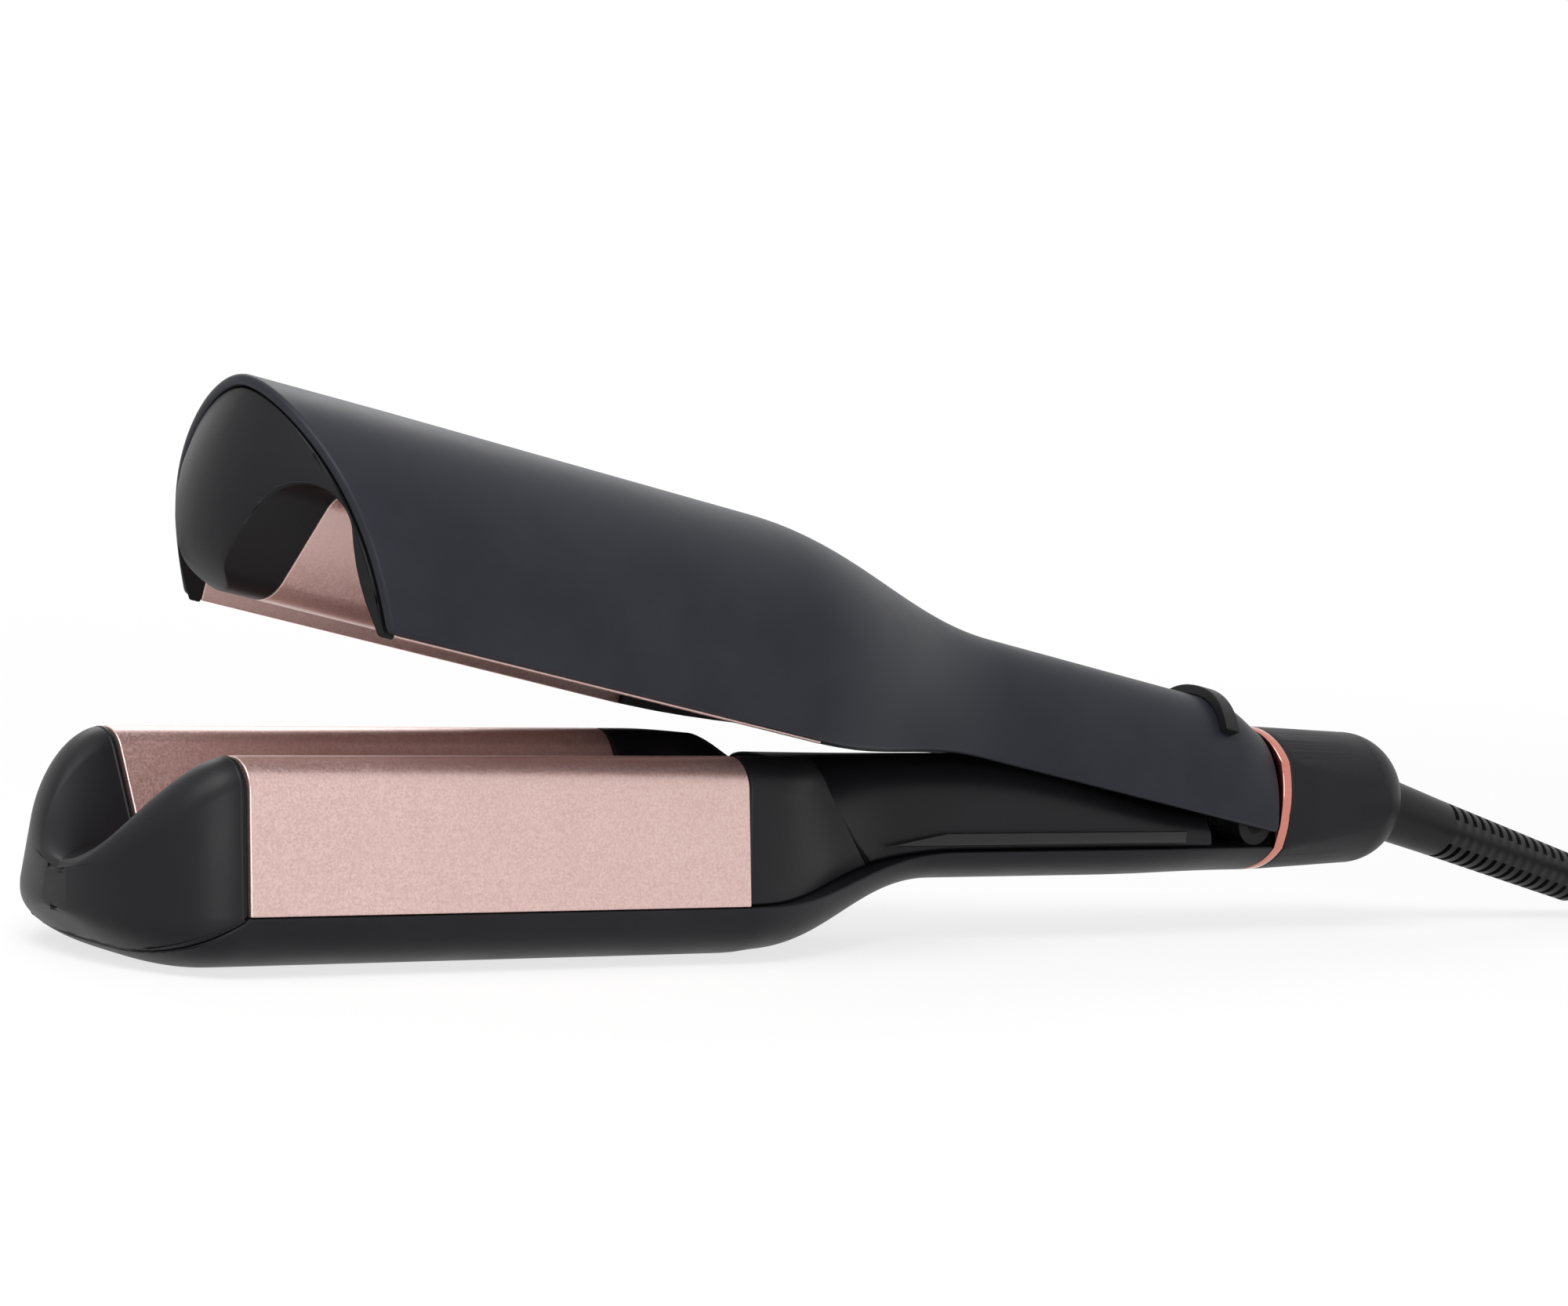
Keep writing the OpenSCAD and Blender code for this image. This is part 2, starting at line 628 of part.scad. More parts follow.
bridge_back = 8.5;     // distance of the yoke's cross bridge from the pin
bridge_x1 = pin_x - bridge_back + 2.4;
module hinge_yoke() {
    y0 = lug_out + clear;
    color("#1c1c1e") open_up() difference() {
        union() {
            for (s = [-1, 1]) translate([pin_x, s * (y0 + ear_t / 2), pin_z]) rotate([90, 0, 0]) {
                cylinder(ear_t, r = lug_r, center = true);
                translate([-bridge_back, -0.6, -ear_t / 2]) cube([bridge_back, 4.4, ear_t]);
            }
            along_x(pin_x - bridge_back, bridge_x1)
                polygon(arch(arm_w(bridge_x1) - shell_t - fit, arm_top(bridge_x1) - shell_t - fit,
                             pin_z - 0.6, arch_n, 32));
        }
        pin_bore(pin_play);
    }
}

// ---------- lock slider ----------
slot_w = 4;
slider_x = ring_x - slider_back;
module slider_slot() {
    translate([slider_x - slider_travel - 1.6, -slot_w / 2, grip_top - 6])
        cube([slider_travel + 3.2, slot_w, 12]);
}

module slider_knob() {
    x = slider_x;
    color("#18181a") open_up() union() {
        difference() {
            along_x(x - slider_l / 2, x + slider_l / 2) difference() {
                polygon(arch(arm_w(x), grip_top + slider_h, grip_rim, arch_n, 40));
                polygon(arch(arm_w(x) + 0.2, grip_top + clear, grip_rim - 2, arch_n, 40));
            }
            translate([x - 20, -60, 0]) cube([40, 60 - slider_w / 2, 80]);
            translate([x - 20, slider_w / 2, 0]) cube([40, 60, 80]);
        }
        translate([x - 1.2, -slot_w / 2 + clear, grip_top - shell_t - 2])
            cube([2.4, slot_w - 2 * clear, shell_t + 3]);
        translate([x - 3, -slot_w / 2 - 1, grip_top - shell_t - 2.4])
            cube([6, slot_w + 2, 1.6]);
    }
}

// ---------- cord ----------
cord_r = cord_d / 2;
relief_x0 = cap_x1 - 5;
relief_drop = 15;      // angle at which the relief droops
module relief_root() {
    translate(relief_at(0)) rotate([0, 90 + relief_drop, 0]) translate([0, 0, -0.4])
        cylinder(20, r = relief_r + 0.1);
}

function relief_at(u) = let(s = u * relief_len)
    [relief_x0 + s * cos(relief_drop), 0,
     axis_z - 0.6 - s * sin(relief_drop)];
relief_end = relief_at(1);
module strain_relief() {
    slot = relief_len * 0.68 / relief_slots;
    color("#161618") translate(relief_at(0)) rotate([0, 90 + relief_drop, 0]) {
        cylinder(relief_len * 0.3, relief_r, relief_r - 0.5);
        cylinder(relief_len, cord_r + 1.1, cord_r + 0.7);
        for (k = [0:relief_slots - 1]) translate([0, 0, relief_len * 0.32 + slot * k])
            cylinder(slot * 0.52, r = mix(relief_r - 0.5, cord_r + 1.5, k / relief_slots));
        translate([-1.3, 0, relief_len * 0.28]) linear_extrude(relief_len * 0.7)
            translate([0, -cord_r - 1.6]) square([2.6, 2 * cord_r + 3.2]);
    }
}

// Points of the lead from the strain relief to the coil.
rest_z = cord_r;
cord_route = [[282, 0, 7.4], [288.2, 0, 5.7], [292.2, 0.3, 4.8], [296.2, 1, 4.1],
              [300.2, 2.4, 3.6], [304.2, 4.4, 3.3], [308, 6.9, 3.2], [311.4, 10, 3.2],
              [314.3, 13.5, 3.2]];

coil_a0 = 150;         // where the lead meets the coil
coil_c = [359.8, -6.3];   // centre of the coil on the table
coil_pitch = cord_d + 0.6;
coil_rise = cord_d + 0.5;
coil_first = coil_turns + 1 / 6;    // turns of the lower layer
coil_last = coil_first + 0.5 + coil_turns;
coil_in = coil_r - coil_turns * coil_pitch / 2;
coil_eye = coil_in - coil_pitch / 2;
coil_widen = 3.8;      // extra width gained where the upper layer starts
coil_steps = 24;
// Radius and height of the coil after a number of turns.
function coil_rad(u) = u < coil_first + 0.5 ? coil_in + (coil_first - u) * coil_pitch :
    coil_eye + (u - coil_first - 0.5) * coil_pitch
    + coil_widen * min(1, (u - coil_first - 0.5) / 0.75) * 0.75;
function coil_h(u) = rest_z + coil_rise * ease(coil_first, coil_first + 0.5, u);
function coil_pt(u) = let(a = coil_a0 - 360 * u)
    [coil_c[0] + coil_rad(u) * cos(a), coil_c[1] + coil_rad(u) * sin(a), coil_h(u)];
coil_run = [for (i = [0:round(coil_last * coil_steps)]) coil_pt(i / coil_steps)];
coil_end = coil_run[len(coil_run) - 1];
// The tail leaves the coil, moves inwards and comes down to the plug's height.
tail_shift = 7;
tail_len = 35.4;
plug_h = 14;
tail_route = [for (d = [cord_d, 12.8, 18, 23, 28, 31.8, tail_len])
    [coil_end[0] - d, coil_end[1] + tail_shift * ease(0, tail_len, d),
     mix(coil_end[2], plug_h / 2, ease(10, 34, d))]];
coil_path = concat([cord_route[len(cord_route) - 1]], coil_run, [tail_route[0]]);
lead_end = len(cord_route) - 1;
into_coil = coil_run[0] - cord_route[lead_end - 1];
out_of_coil = tail_route[1] - coil_end;

module cord() {
    color("#141416") tube(cord_route, cord_r, 8, cord_route[1] - cord_route[0], into_coil);
}

module cord_coil() {
    color("#141416") tube(coil_path, cord_r, 6, into_coil, out_of_coil);
}

plug_w = 25;
plug_l = 26;
plug_sleeve = 18.4;    // length of the plug's tapered sleeve
plug_x = coil_end[0] - tail_len - plug_sleeve;   // back of the plug's body
plug_y = coil_end[1] + tail_shift;
blade = [16, 1.5, 6.3];
module cord_tail() {
    color("#141416") tube(tail_route, cord_r, 8, out_of_coil, [-1, 0, 0]);
}

module plug_body() {
    color("#161618") translate([plug_x, plug_y, 0]) {
        translate([0, 0, plug_h / 2]) rotate([0, 90, 0]) cylinder(plug_sleeve, 6, 4.4);
        translate([-plug_l, 0, plug_h / 2]) rotate([0, 90, 0]) linear_extrude(plug_l) hull()
            for (s = [-1, 1]) translate([0, s * (plug_w - plug_h) / 2])
                circle(plug_h / 2, $fn = 32);
    }
}

module plug_pins() {
    color("silver") for (s = [-1, 1])
        translate([plug_x - plug_l - blade[0], plug_y + s * 6.35 - blade[1] / 2,
                   (plug_h - blade[2]) / 2]) difference() {
            cube(blade);
            translate([3.6, -1, blade[2] / 2]) rotate([-90, 0, 0]) cylinder(blade[1] + 2, r = 1.5);
        }
}

lower_casing();
lower_tip_cap();
lower_plate();
lower_carrier();
lower_heater();
lower_neck();
grip_body();
control_strips();
circuit_board();
hinge_block();
hinge_pin();
opening_spring();
trim_ring();
end_cap();
upper_casing();
upper_tip_cap();
upper_plate();
upper_carrier();
upper_heater();
upper_neck();
hinge_yoke();
slider_knob();
strain_relief();
cord();
cord_coil();
cord_tail();
plug_body();
plug_pins();
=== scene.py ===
# %% [markdown]
# # A deep hair waver, modelled and lit
# The waver is two hinged arms with wave-shaped heated plates between them. Its sizes and its
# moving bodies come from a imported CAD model, which is loaded first and never moved.
# This lesson gives the tool the smooth mouldings, the coatings and the cord that the eye
# expects, each made in the place that the CAD model sets.

import json
import math
import bmesh
import bpy
from mathutils import Matrix, Vector


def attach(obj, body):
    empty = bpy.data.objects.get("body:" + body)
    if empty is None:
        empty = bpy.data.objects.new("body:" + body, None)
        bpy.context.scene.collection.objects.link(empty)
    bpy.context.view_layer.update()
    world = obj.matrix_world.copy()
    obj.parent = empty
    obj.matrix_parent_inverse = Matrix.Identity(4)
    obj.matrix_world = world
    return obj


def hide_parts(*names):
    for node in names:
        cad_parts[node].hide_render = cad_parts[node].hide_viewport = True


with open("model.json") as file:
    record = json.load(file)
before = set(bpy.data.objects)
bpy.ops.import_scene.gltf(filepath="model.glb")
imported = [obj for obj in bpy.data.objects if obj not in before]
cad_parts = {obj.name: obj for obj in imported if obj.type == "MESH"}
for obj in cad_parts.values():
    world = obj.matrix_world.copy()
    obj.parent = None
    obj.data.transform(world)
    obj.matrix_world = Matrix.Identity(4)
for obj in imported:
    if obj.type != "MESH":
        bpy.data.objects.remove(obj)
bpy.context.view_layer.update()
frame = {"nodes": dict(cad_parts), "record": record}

# %% [markdown]
# ## The camera
# The photograph was taken from the front left, a little above the arms, with a long lens that
# keeps the far end of the handle nearly as tall as the near end. The matrix holds the camera's
# right, up and backward directions, so that its slight tilt is kept exactly.

# %% Camera
lens_right = Vector((0.78987, -0.60837, 0.07741))
lens_down = Vector((0.01327, -0.10926, -0.99399))
lens_ahead = Vector((0.6131, 0.7861, -0.0782))
camera_place = Vector((-0.4791, -0.7107, 0.12165))
camera_data = bpy.data.cameras.new("photo_camera")
camera_data.lens = 117
camera_data.sensor_width = 36
camera_data.clip_start = 0.05
camera = bpy.data.objects.new("photo_camera", camera_data)
turn = Matrix((lens_right, -lens_down, -lens_ahead)).transposed().to_4x4()
camera.matrix_world = Matrix.Translation(camera_place) @ turn
bpy.context.scene.collection.objects.link(camera)
bpy.context.scene.camera = camera
print("lens", camera_data.lens, "mm")

# %% [markdown]
# ## The cord
# A mains lead is a round PVC cable. It leaves the strain relief at a droop, reaches the table
# and is put away in a flat round coil of two layers, out of the picture. A curve with a round
# bevel keeps its thickness everywhere, which is what a cable does. The numbers below are the
# route's own points in millimetres, the same ones as in the CAD model.

# %% Cord route
CORD_D = 6.4
lead_points = [(282, 0, 7.4), (288.2, 0, 5.7), (292.2, 0.3, 4.8), (296.2, 1, 4.1),
               (300.2, 2.4, 3.6), (304.2, 4.4, 3.3), (308, 6.9, 3.2), (311.4, 10, 3.2),
               (314.3, 13.5, 3.2)]
COIL_CENTRE = (359.8, -6.3)
COIL_TURNS = 3
COIL_PITCH = CORD_D + 0.6
COIL_FIRST = COIL_TURNS + 1 / 6
COIL_LAST = COIL_FIRST + 0.5 + COIL_TURNS
COIL_MID_RADIUS = 37.5
COIL_IN = COIL_MID_RADIUS - COIL_TURNS * COIL_PITCH / 2
COIL_STEPS, COIL_START = 24, 150
STEP_OUT, STEP_TURNS, LAYER_GAP = 2.85, 0.75, 0.5
TAIL_LEN, TAIL_SIDE, PLUG_Z = 35.4, 7, 7


def mix(a, b, t):
    return a + (b - a) * t


def ease(a, b, x):
    t = min(max((x - a) / (b - a), 0), 1)
    return t * t * (3 - 2 * t)


def coil_point(u):
    """A point of the coil after u turns: inwards on the table, then outwards on top."""
    if u < COIL_FIRST + 0.5:
        radius = COIL_IN + (COIL_FIRST - u) * COIL_PITCH
    else:
        past = u - COIL_FIRST - 0.5
        radius = (COIL_IN + (past - 0.5) * COIL_PITCH
                  + STEP_OUT * min(1, past / STEP_TURNS))
    angle = math.radians(COIL_START - 360 * u)
    height = CORD_D / 2 + (CORD_D + LAYER_GAP) * ease(COIL_FIRST, COIL_FIRST + 0.5, u)
    return (COIL_CENTRE[0] + radius * math.cos(angle),
            COIL_CENTRE[1] + radius * math.sin(angle), height)


coil_points = [coil_point(i / COIL_STEPS) for i in range(round(COIL_LAST * COIL_STEPS) + 1)]
cx, cy, cz = coil_points[-1]
tail_points = [(cx - d, cy + TAIL_SIDE * ease(0, TAIL_LEN, d), mix(cz, PLUG_Z, ease(10, 34, d)))
               for d in (CORD_D, 2 * CORD_D, 18, 23, 28, 31.8, TAIL_LEN)]
route = lead_points + coil_points + tail_points
print("route points", len(route))

# %% [markdown]
# The route's points are close together, so a curve through them needs only gentle rounding.
# Each gap is filled with three points of a Catmull-Rom spline, which passes through every
# given point, and the result becomes one open poly spline.

# %% Cord curve
def through(points, steps):
    """Points of a smooth line that passes through all the given ones."""
    p = [Vector(q) for q in points]
    p = [2 * p[0] - p[1]] + p + [2 * p[-1] - p[-2]]
    line = []
    for i in range(1, len(p) - 2):
        for k in range(steps):
            t = k / steps
            line.append(0.5 * (2 * p[i] + (p[i + 1] - p[i - 1]) * t
                               + (2 * p[i - 1] - 5 * p[i] + 4 * p[i + 1] - p[i + 2]) * t ** 2
                               + (3 * p[i] - p[i - 1] - 3 * p[i + 1] + p[i + 2]) * t ** 3))
    return line + [p[-2]]


cord_line = [q * 0.001 for q in through(route, 3)]
cord_curve = bpy.data.curves.new("mains_cord", "CURVE")
cord_curve.dimensions = "3D"
cord_curve.bevel_depth = CORD_D / 2000
cord_curve.bevel_resolution = 4
cord_curve.use_fill_caps = True
spline = cord_curve.splines.new("POLY")
spline.points.add(len(cord_line) - 1)
for point, place in zip(spline.points, cord_line):
    point.co = (*place, 1)
mains_cord = bpy.data.objects.new("mains_cord", cord_curve)
bpy.context.scene.collection.objects.link(mains_cord)

# %% [markdown]
# ## Tools for materials
# Every finish is a small tree of nodes on the Principled shader. One function adds a node,
# sets its fields and fills its inputs, so that each material below reads as a short list.
# Colours are written as the sRGB hex codes that a paint program shows.

# %% Material helpers
def from_hex(code):
    """An sRGB hex colour as the linear colour that the shader expects."""
    parts = [int(code[i:i + 2], 16) / 255 for i in (1, 3, 5)]
    return [c / 12.92 if c < 0.04045 else ((c + 0.055) / 1.055) ** 2.4 for c in parts] + [1.0]


def fill(tree, made, inputs):
    """Gives a node's inputs their values, or links them to other nodes' outputs."""
    for key, value in inputs.items():
        if isinstance(value, bpy.types.NodeSocket):
            tree.links.new(value, made.inputs[key])
        else:
            made.inputs[key].default_value = value


def node(tree, kind, fields=None, inputs=None, out=0):
    """Adds one node with its settings and links, and gives back one of its outputs."""
    made = tree.nodes.new(kind)
    for key, value in (fields or {}).items():
        setattr(made, key, value)
    fill(tree, made, inputs or {})
    return made.outputs[out] if len(made.outputs) else made


def new_material(name, ior=1.5, metallic=0.0, specular=0.5):
    """An empty Principled material, its tree, its shader and its Object coordinates."""
    material = bpy.data.materials.new(name)
    material.use_nodes = True
    tree = material.node_tree
    tree.nodes.clear()
    shader = node(tree, "ShaderNodeBsdfPrincipled", None, {
        "IOR": ior, "Metallic": metallic, "Specular IOR Level": specular})
    node(tree, "ShaderNodeOutputMaterial", None, {"Surface": shader})
    place = node(tree, "ShaderNodeTexCoord", out="Object")
    return material, tree, shader.node, place


print("mid grey #808080 is", round(from_hex("#808080")[0], 3), "in linear light")

# %% [markdown]
# ## Soft-touch lacquer on the casings
# The casings are moulded in black ABS and sprayed with a soft-touch lacquer. It scatters light
# into one broad, greyish sheen, and handling leaves faint paler smears. The lacquer's orange
# peel is about 0.6 mm across. It is drawn at 1.2 mm so that it shows.

# %% Casing lacquer
def soft_touch(name, dark, light, rough):
    material, tree, shader, place = new_material(name, ior=1.46, specular=0.18)
    smear = node(tree, "ShaderNodeTexNoise", None, {
        "Vector": place, "Scale": 1000 / 24, "Detail": 4.0, "Roughness": 0.6})
    peel = node(tree, "ShaderNodeTexNoise", None, {
        "Vector": place, "Scale": 1000 / 1.2, "Detail": 2.0})
    rubbed = node(tree, "ShaderNodeMapRange", None, {
        "Value": smear, "From Min": 0.35, "From Max": 0.7})
    fill(tree, shader, {
        "Base Color": node(tree, "ShaderNodeMix", {"data_type": "RGBA"}, {
            0: rubbed, 6: from_hex(dark), 7: from_hex(light)}, out=2),
        "Roughness": node(tree, "ShaderNodeMapRange", None, {
            "Value": smear, "From Min": 0.3, "From Max": 0.7,
            "To Min": rough - 0.05, "To Max": rough + 0.06}),
        "Normal": node(tree, "ShaderNodeBump", None, {
            "Height": peel, "Distance": 0.00002, "Strength": 0.35})})
    return material


soft_touch_charcoal = soft_touch("soft_touch_lacquer_charcoal", "#1f2027", "#27282f", 0.42)
soft_touch_black = soft_touch("soft_touch_lacquer_black", "#151518", "#1b1b1e", 0.42)
print("made", soft_touch_charcoal.name, soft_touch_black.name)

# %% [markdown]
# ## Moulded plastics
# Next to the hot plates the plastic is glass-filled nylon. Its spark-eroded mould leaves a very
# fine matt grain, about 0.15 mm, drawn here at 0.5 mm, and it looks blacker than the lacquer.
# The same recipe with a smoother value makes polished ABS, PVC for the cord, the grey carrier
# inside the jaws and the solder resist on the board, since all of them come from a mould or a
# coating that only changes how glossy and how grainy the skin is.

# %% Moulded plastics
def moulded(name, dark, light, rough, grain_depth_mm=0.015, specular=0.18):
    material, tree, shader, place = new_material(name, specular=specular)
    cloud = node(tree, "ShaderNodeTexNoise", None, {
        "Vector": place, "Scale": 1000 / 14, "Detail": 3.0, "Roughness": 0.6})
    pores = node(tree, "ShaderNodeTexNoise", None, {
        "Vector": place, "Scale": 1000 / 0.5, "Detail": 1.0})
    fill(tree, shader, {
        "Base Color": node(tree, "ShaderNodeMix", {"data_type": "RGBA"}, {
            0: cloud, 6: from_hex(dark), 7: from_hex(light)}, out=2),
        "Roughness": node(tree, "ShaderNodeMapRange", None, {
            "Value": cloud, "From Min": 0.3, "From Max": 0.7,
            "To Min": rough - 0.03, "To Max": rough + 0.04}),
        "Normal": node(tree, "ShaderNodeBump", None, {
            "Height": pores, "Distance": grain_depth_mm / 1000, "Strength": 0.3})})
    return material


black_nylon = moulded("moulded_nylon_black", "#121214", "#17171a", 0.42)
polished_black = moulded("polished_abs_black", "#08080a", "#0b0b0d", 0.16, 0.002, 0.4)
black_pvc = moulded("moulded_pvc_black", "#101012", "#151517", 0.38)
plug_pvc = moulded("moulded_plug_pvc_black", "#121214", "#18181a", 0.45)
grey_carrier = moulded("glass_filled_carrier_grey", "#8c877f", "#9a958c", 0.6)
green_board = moulded("solder_resist_green", "#0c3a1c", "#125028", 0.35, 0.004)
print("materials so far", len(bpy.data.materials))

# %% [markdown]
# ## Rose-gold coating on the plates
# The plates are pressed aluminium under a ceramic coating with metal flakes in it. The flakes
# are some 0.05 mm across. They are drawn at 0.35 mm, as a fine sparkle that lifts the colour
# and changes the roughness from point to point.

# %% Plate coating
def flake_coating(name, dark, light, metallic, rough):
    material, tree, shader, place = new_material(name, metallic=metallic)
    flakes = node(tree, "ShaderNodeTexVoronoi", {"feature": "F1"}, {
        "Vector": place, "Scale": 1000 / 0.35}, out="Color")
    sparkle = node(tree, "ShaderNodeMapRange", None, {
        "Value": flakes, "From Min": 0.15, "From Max": 0.85})
    cloud = node(tree, "ShaderNodeTexNoise", None, {
        "Vector": place, "Scale": 1000 / 9, "Detail": 3.0})
    tone = node(tree, "ShaderNodeMath", {"operation": "MULTIPLY_ADD"}, {
        0: sparkle, 1: 0.75, 2: node(tree, "ShaderNodeMath", {"operation": "MULTIPLY"}, {
            0: cloud, 1: 0.3})})
    fill(tree, shader, {
        "Base Color": node(tree, "ShaderNodeMix", {"data_type": "RGBA"}, {
            0: tone, 6: from_hex(dark), 7: from_hex(light)}, out=2),
        "Roughness": node(tree, "ShaderNodeMapRange", None, {
            "Value": sparkle, "To Min": rough - 0.06, "To Max": rough + 0.06}),
        "Normal": node(tree, "ShaderNodeBump", None, {
            "Height": sparkle, "Distance": 0.00001, "Strength": 0.25})})
    return material


rose_coating = flake_coating("ceramic_flake_coating_rose", "#c9a8a2", "#dcc0bb", 0.8, 0.34)
print("made", rose_coating.name)

# %% [markdown]
# ## Bright metals
# The thin band at the hinge is plated and polished, so it mirrors its surroundings in a strong
# rose tone. Spring steel, the blackened hinge pin, the plug's blades and the heater bars show faint
# drawing lines along their length, made by squeezing a noise pattern along X with a Mapping node.

# %% Metals
def drawn_metal(name, dark, light, rough, line_mm=0.4):
    material, tree, shader, place = new_material(name, metallic=1.0)
    along = node(tree, "ShaderNodeMapping", None, {"Vector": place, "Scale": (0.08, 1, 1)})
    lines = node(tree, "ShaderNodeTexNoise", None, {
        "Vector": along, "Scale": 1000 / line_mm, "Detail": 2.0})
    fill(tree, shader, {
        "Base Color": node(tree, "ShaderNodeMix", {"data_type": "RGBA"}, {
            0: lines, 6: from_hex(dark), 7: from_hex(light)}, out=2),
        "Roughness": node(tree, "ShaderNodeMapRange", None, {
            "Value": lines, "From Min": 0.3, "From Max": 0.7,
            "To Min": rough * 0.8, "To Max": rough * 1.2})})
    return material


rose_plating = drawn_metal("polished_plating_rose_gold", "#c47c70", "#d48d80", 0.1)
spring_steel = drawn_metal("drawn_spring_steel", "#8f9094", "#b5b6ba", 0.3)
blackened_steel = drawn_metal("blackened_steel", "#1a1a1c", "#242426", 0.45)
nickel_pin = drawn_metal("nickel_plated_brass", "#b9b4a8", "#cfcabf", 0.2)
heater_alloy = drawn_metal("extruded_aluminium", "#a5a6a8", "#c2c3c5", 0.35)
print("materials", len(bpy.data.materials))

# %% [markdown]
# ## Lofting a piece
# One helper makes most shapes. It lays a chain of vertices for one cross-section, then
# extrudes its edges from station to station and drops the new vertices where that station's
# section wants them, which is how a hull is lofted over its frames.

# %% Loft helper
def loft(name, rings, closed=True):
    """Extrudes the first ring's edges through all the others. Points are in millimetres."""
    bm = bmesh.new()
    verts = [bm.verts.new(Vector(p) * 0.001) for p in rings[0]]
    count = len(verts)
    pairs = [(i, (i + 1) % count) for i in range(count if closed else count - 1)]
    edges = [bm.edges.new((verts[a], verts[b])) for a, b in pairs]
    if closed:
        bm.faces.new(verts)
    for ring in rings[1:]:
        made = bmesh.ops.extrude_edge_only(bm, edges=edges)["geom"]
        fresh = {v for v in made if isinstance(v, bmesh.types.BMVert)}
        step = []
        for v in verts:
            step.append(next(e.other_vert(v) for e in v.link_edges if e.other_vert(v) in fresh))
        for v, p in zip(step, ring):
            v.co = Vector(p) * 0.001
        edges = [e for e in made if isinstance(e, bmesh.types.BMEdge)
                 and e.verts[0] in fresh and e.verts[1] in fresh]
        verts = step
    if closed:
        bm.faces.new(verts)
    bmesh.ops.remove_doubles(bm, verts=bm.verts, dist=1e-6)
    bmesh.ops.recalc_face_normals(bm, faces=bm.faces)
    highest = max(bm.faces, key=lambda f: f.calc_center_median().z)
    if not closed and highest.normal.z < 0:
        bmesh.ops.reverse_faces(bm, faces=bm.faces)
    mesh = bpy.data.meshes.new(name)
    bm.to_mesh(mesh)
    bm.free()
    piece = bpy.data.objects.new(name, mesh)
    bpy.context.scene.collection.objects.link(piece)
    return piece

# %% [markdown]
# ## Finishing a piece
# A moulded or pressed piece has a wall, slightly rounded rims and smooth faces between them.
# A Solidify modifier gives the wall and a Bevel modifier rounds the rims, because both can be
# changed later without touching the mesh.

# %% Rim and shading helper
SHARP_ANGLE = math.radians(38)


def finish(piece, material, cad_nodes, body, rim_mm=0.5, wall_mm=0, wall_side=-1):
    """Wall, rounded rims, smooth shading, finish and body of one piece."""
    if wall_mm:
        wall = piece.modifiers.new("wall", "SOLIDIFY")
        wall.thickness = wall_mm / 1000
        wall.offset = wall_side
    if rim_mm:
        rim = piece.modifiers.new("rim", "BEVEL")
        rim.width = rim_mm / 1000
        rim.segments = 3
        rim.limit_method = "ANGLE"
        rim.angle_limit = SHARP_ANGLE
        rim.use_clamp_overlap = False
        rim.harden_normals = True
    piece.data.shade_smooth()
    if not rim_mm:
        piece.data.set_sharp_from_angle(angle=SHARP_ANGLE)
    piece.data.materials.clear()
    piece.data.materials.append(material)
    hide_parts(*cad_nodes)
    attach(piece, body)
    print(piece.name, len(piece.data.polygons), "faces")
    return piece

# %% [markdown]
# ## The sections that the arms share
# A deep waver's plate is a letter M with round shoulders: two crests and a valley. The upper
# casing is an arch that is a little squarer than an ellipse, called a superellipse. The
# functions below give both at any place along the arms, in millimetres.

# %% Sections
PLATE_X0, PLATE_X1, NECK_X1, RING_X = -50.0, 50.0, 108.0, 188.0
PIN_X, PIN_Z, OPEN_ANGLE = 183.5, 21.1, math.radians(10.8)
CREST_Y, CREST_TOP, CREST_R, VALLEY_FLOOR, VALLEY_R = 20.0, 35.0, 6.0, 15.6, 8.5
JAW_HALF, SEAM_Z, GRIP_HALF, SHELL = 29.0, 10.0, 13.4, 2.0
UPPER_TOP, UPPER_RIM, GRIP_TOP, GRIP_RIM = 52.0, 15.6, 42.0, 20.2
TRAY_HALF, TRAY_EDGE, TRAY_UNDER, INNER_TOP = 12.5, 16.6, 10.6, 33.0
CAP_HALF, CAP_TOP = 12.4, 38.3
UP_X1 = 60.0                # rear end of the upper plate
TAIL_X = RING_X - 14        # where the upper arm starts to narrow to the band
HAIR_GAP, SHEET, FIT = 1.0, 1.2, 0.2


def soft(v, p):
    return math.copysign(abs(v) ** p, v)


def arc(c, r, a0, a1, n):
    return [(c[0] + r * math.cos(mix(a0, a1, i / n)), c[1] + r * math.sin(mix(a0, a1, i / n)))
            for i in range(n + 1)]


def wave_half(cy, top, cr, floor, vr, fy, fz, fine=2):
    """Half of the wave, from the valley's middle over the crest to the foot."""
    cz, vz = top - cr, floor + vr
    reach = math.hypot(cy, cz - vz)
    a = math.pi + math.atan2(cz - vz, cy) - math.acos(min(1, (cr + vr) / reach))
    b = (math.atan2(fz - cz, fy - cy)
         + math.acos(min(1, cr / math.hypot(fy - cy, fz - cz))))
    valley = arc((0, vz), vr, -math.pi / 2, a - math.pi, 5 * fine)
    crest = arc((cy, cz), cr, a, b, 8 * fine)
    return valley + crest + [(fy, fz)]


def whole(half):
    """Both halves of a section, from the foot at -Y to the foot at +Y."""
    return [(-y, z) for y, z in reversed(half)] + half[1:]


def belly(w, z1, z0, n, start=0.0, end=math.pi, steps=40):
    """The rounded underside from +Y round to -Y, or the part of it between two angles."""
    turns = [mix(start, end, i / steps) for i in range(steps + 1)]
    return [(w * soft(math.cos(t), 2 / n), z1 - (z1 - z0) * soft(math.sin(t), 2 / n))
            for t in turns]


def arch(w, top, rim, n, steps=64):
    turns = [math.pi * i / steps for i in range(steps + 1)]
    return [(-w * soft(math.cos(t), 2 / n), rim + (top - rim) * soft(math.sin(t), 2 / n))
            for t in turns]

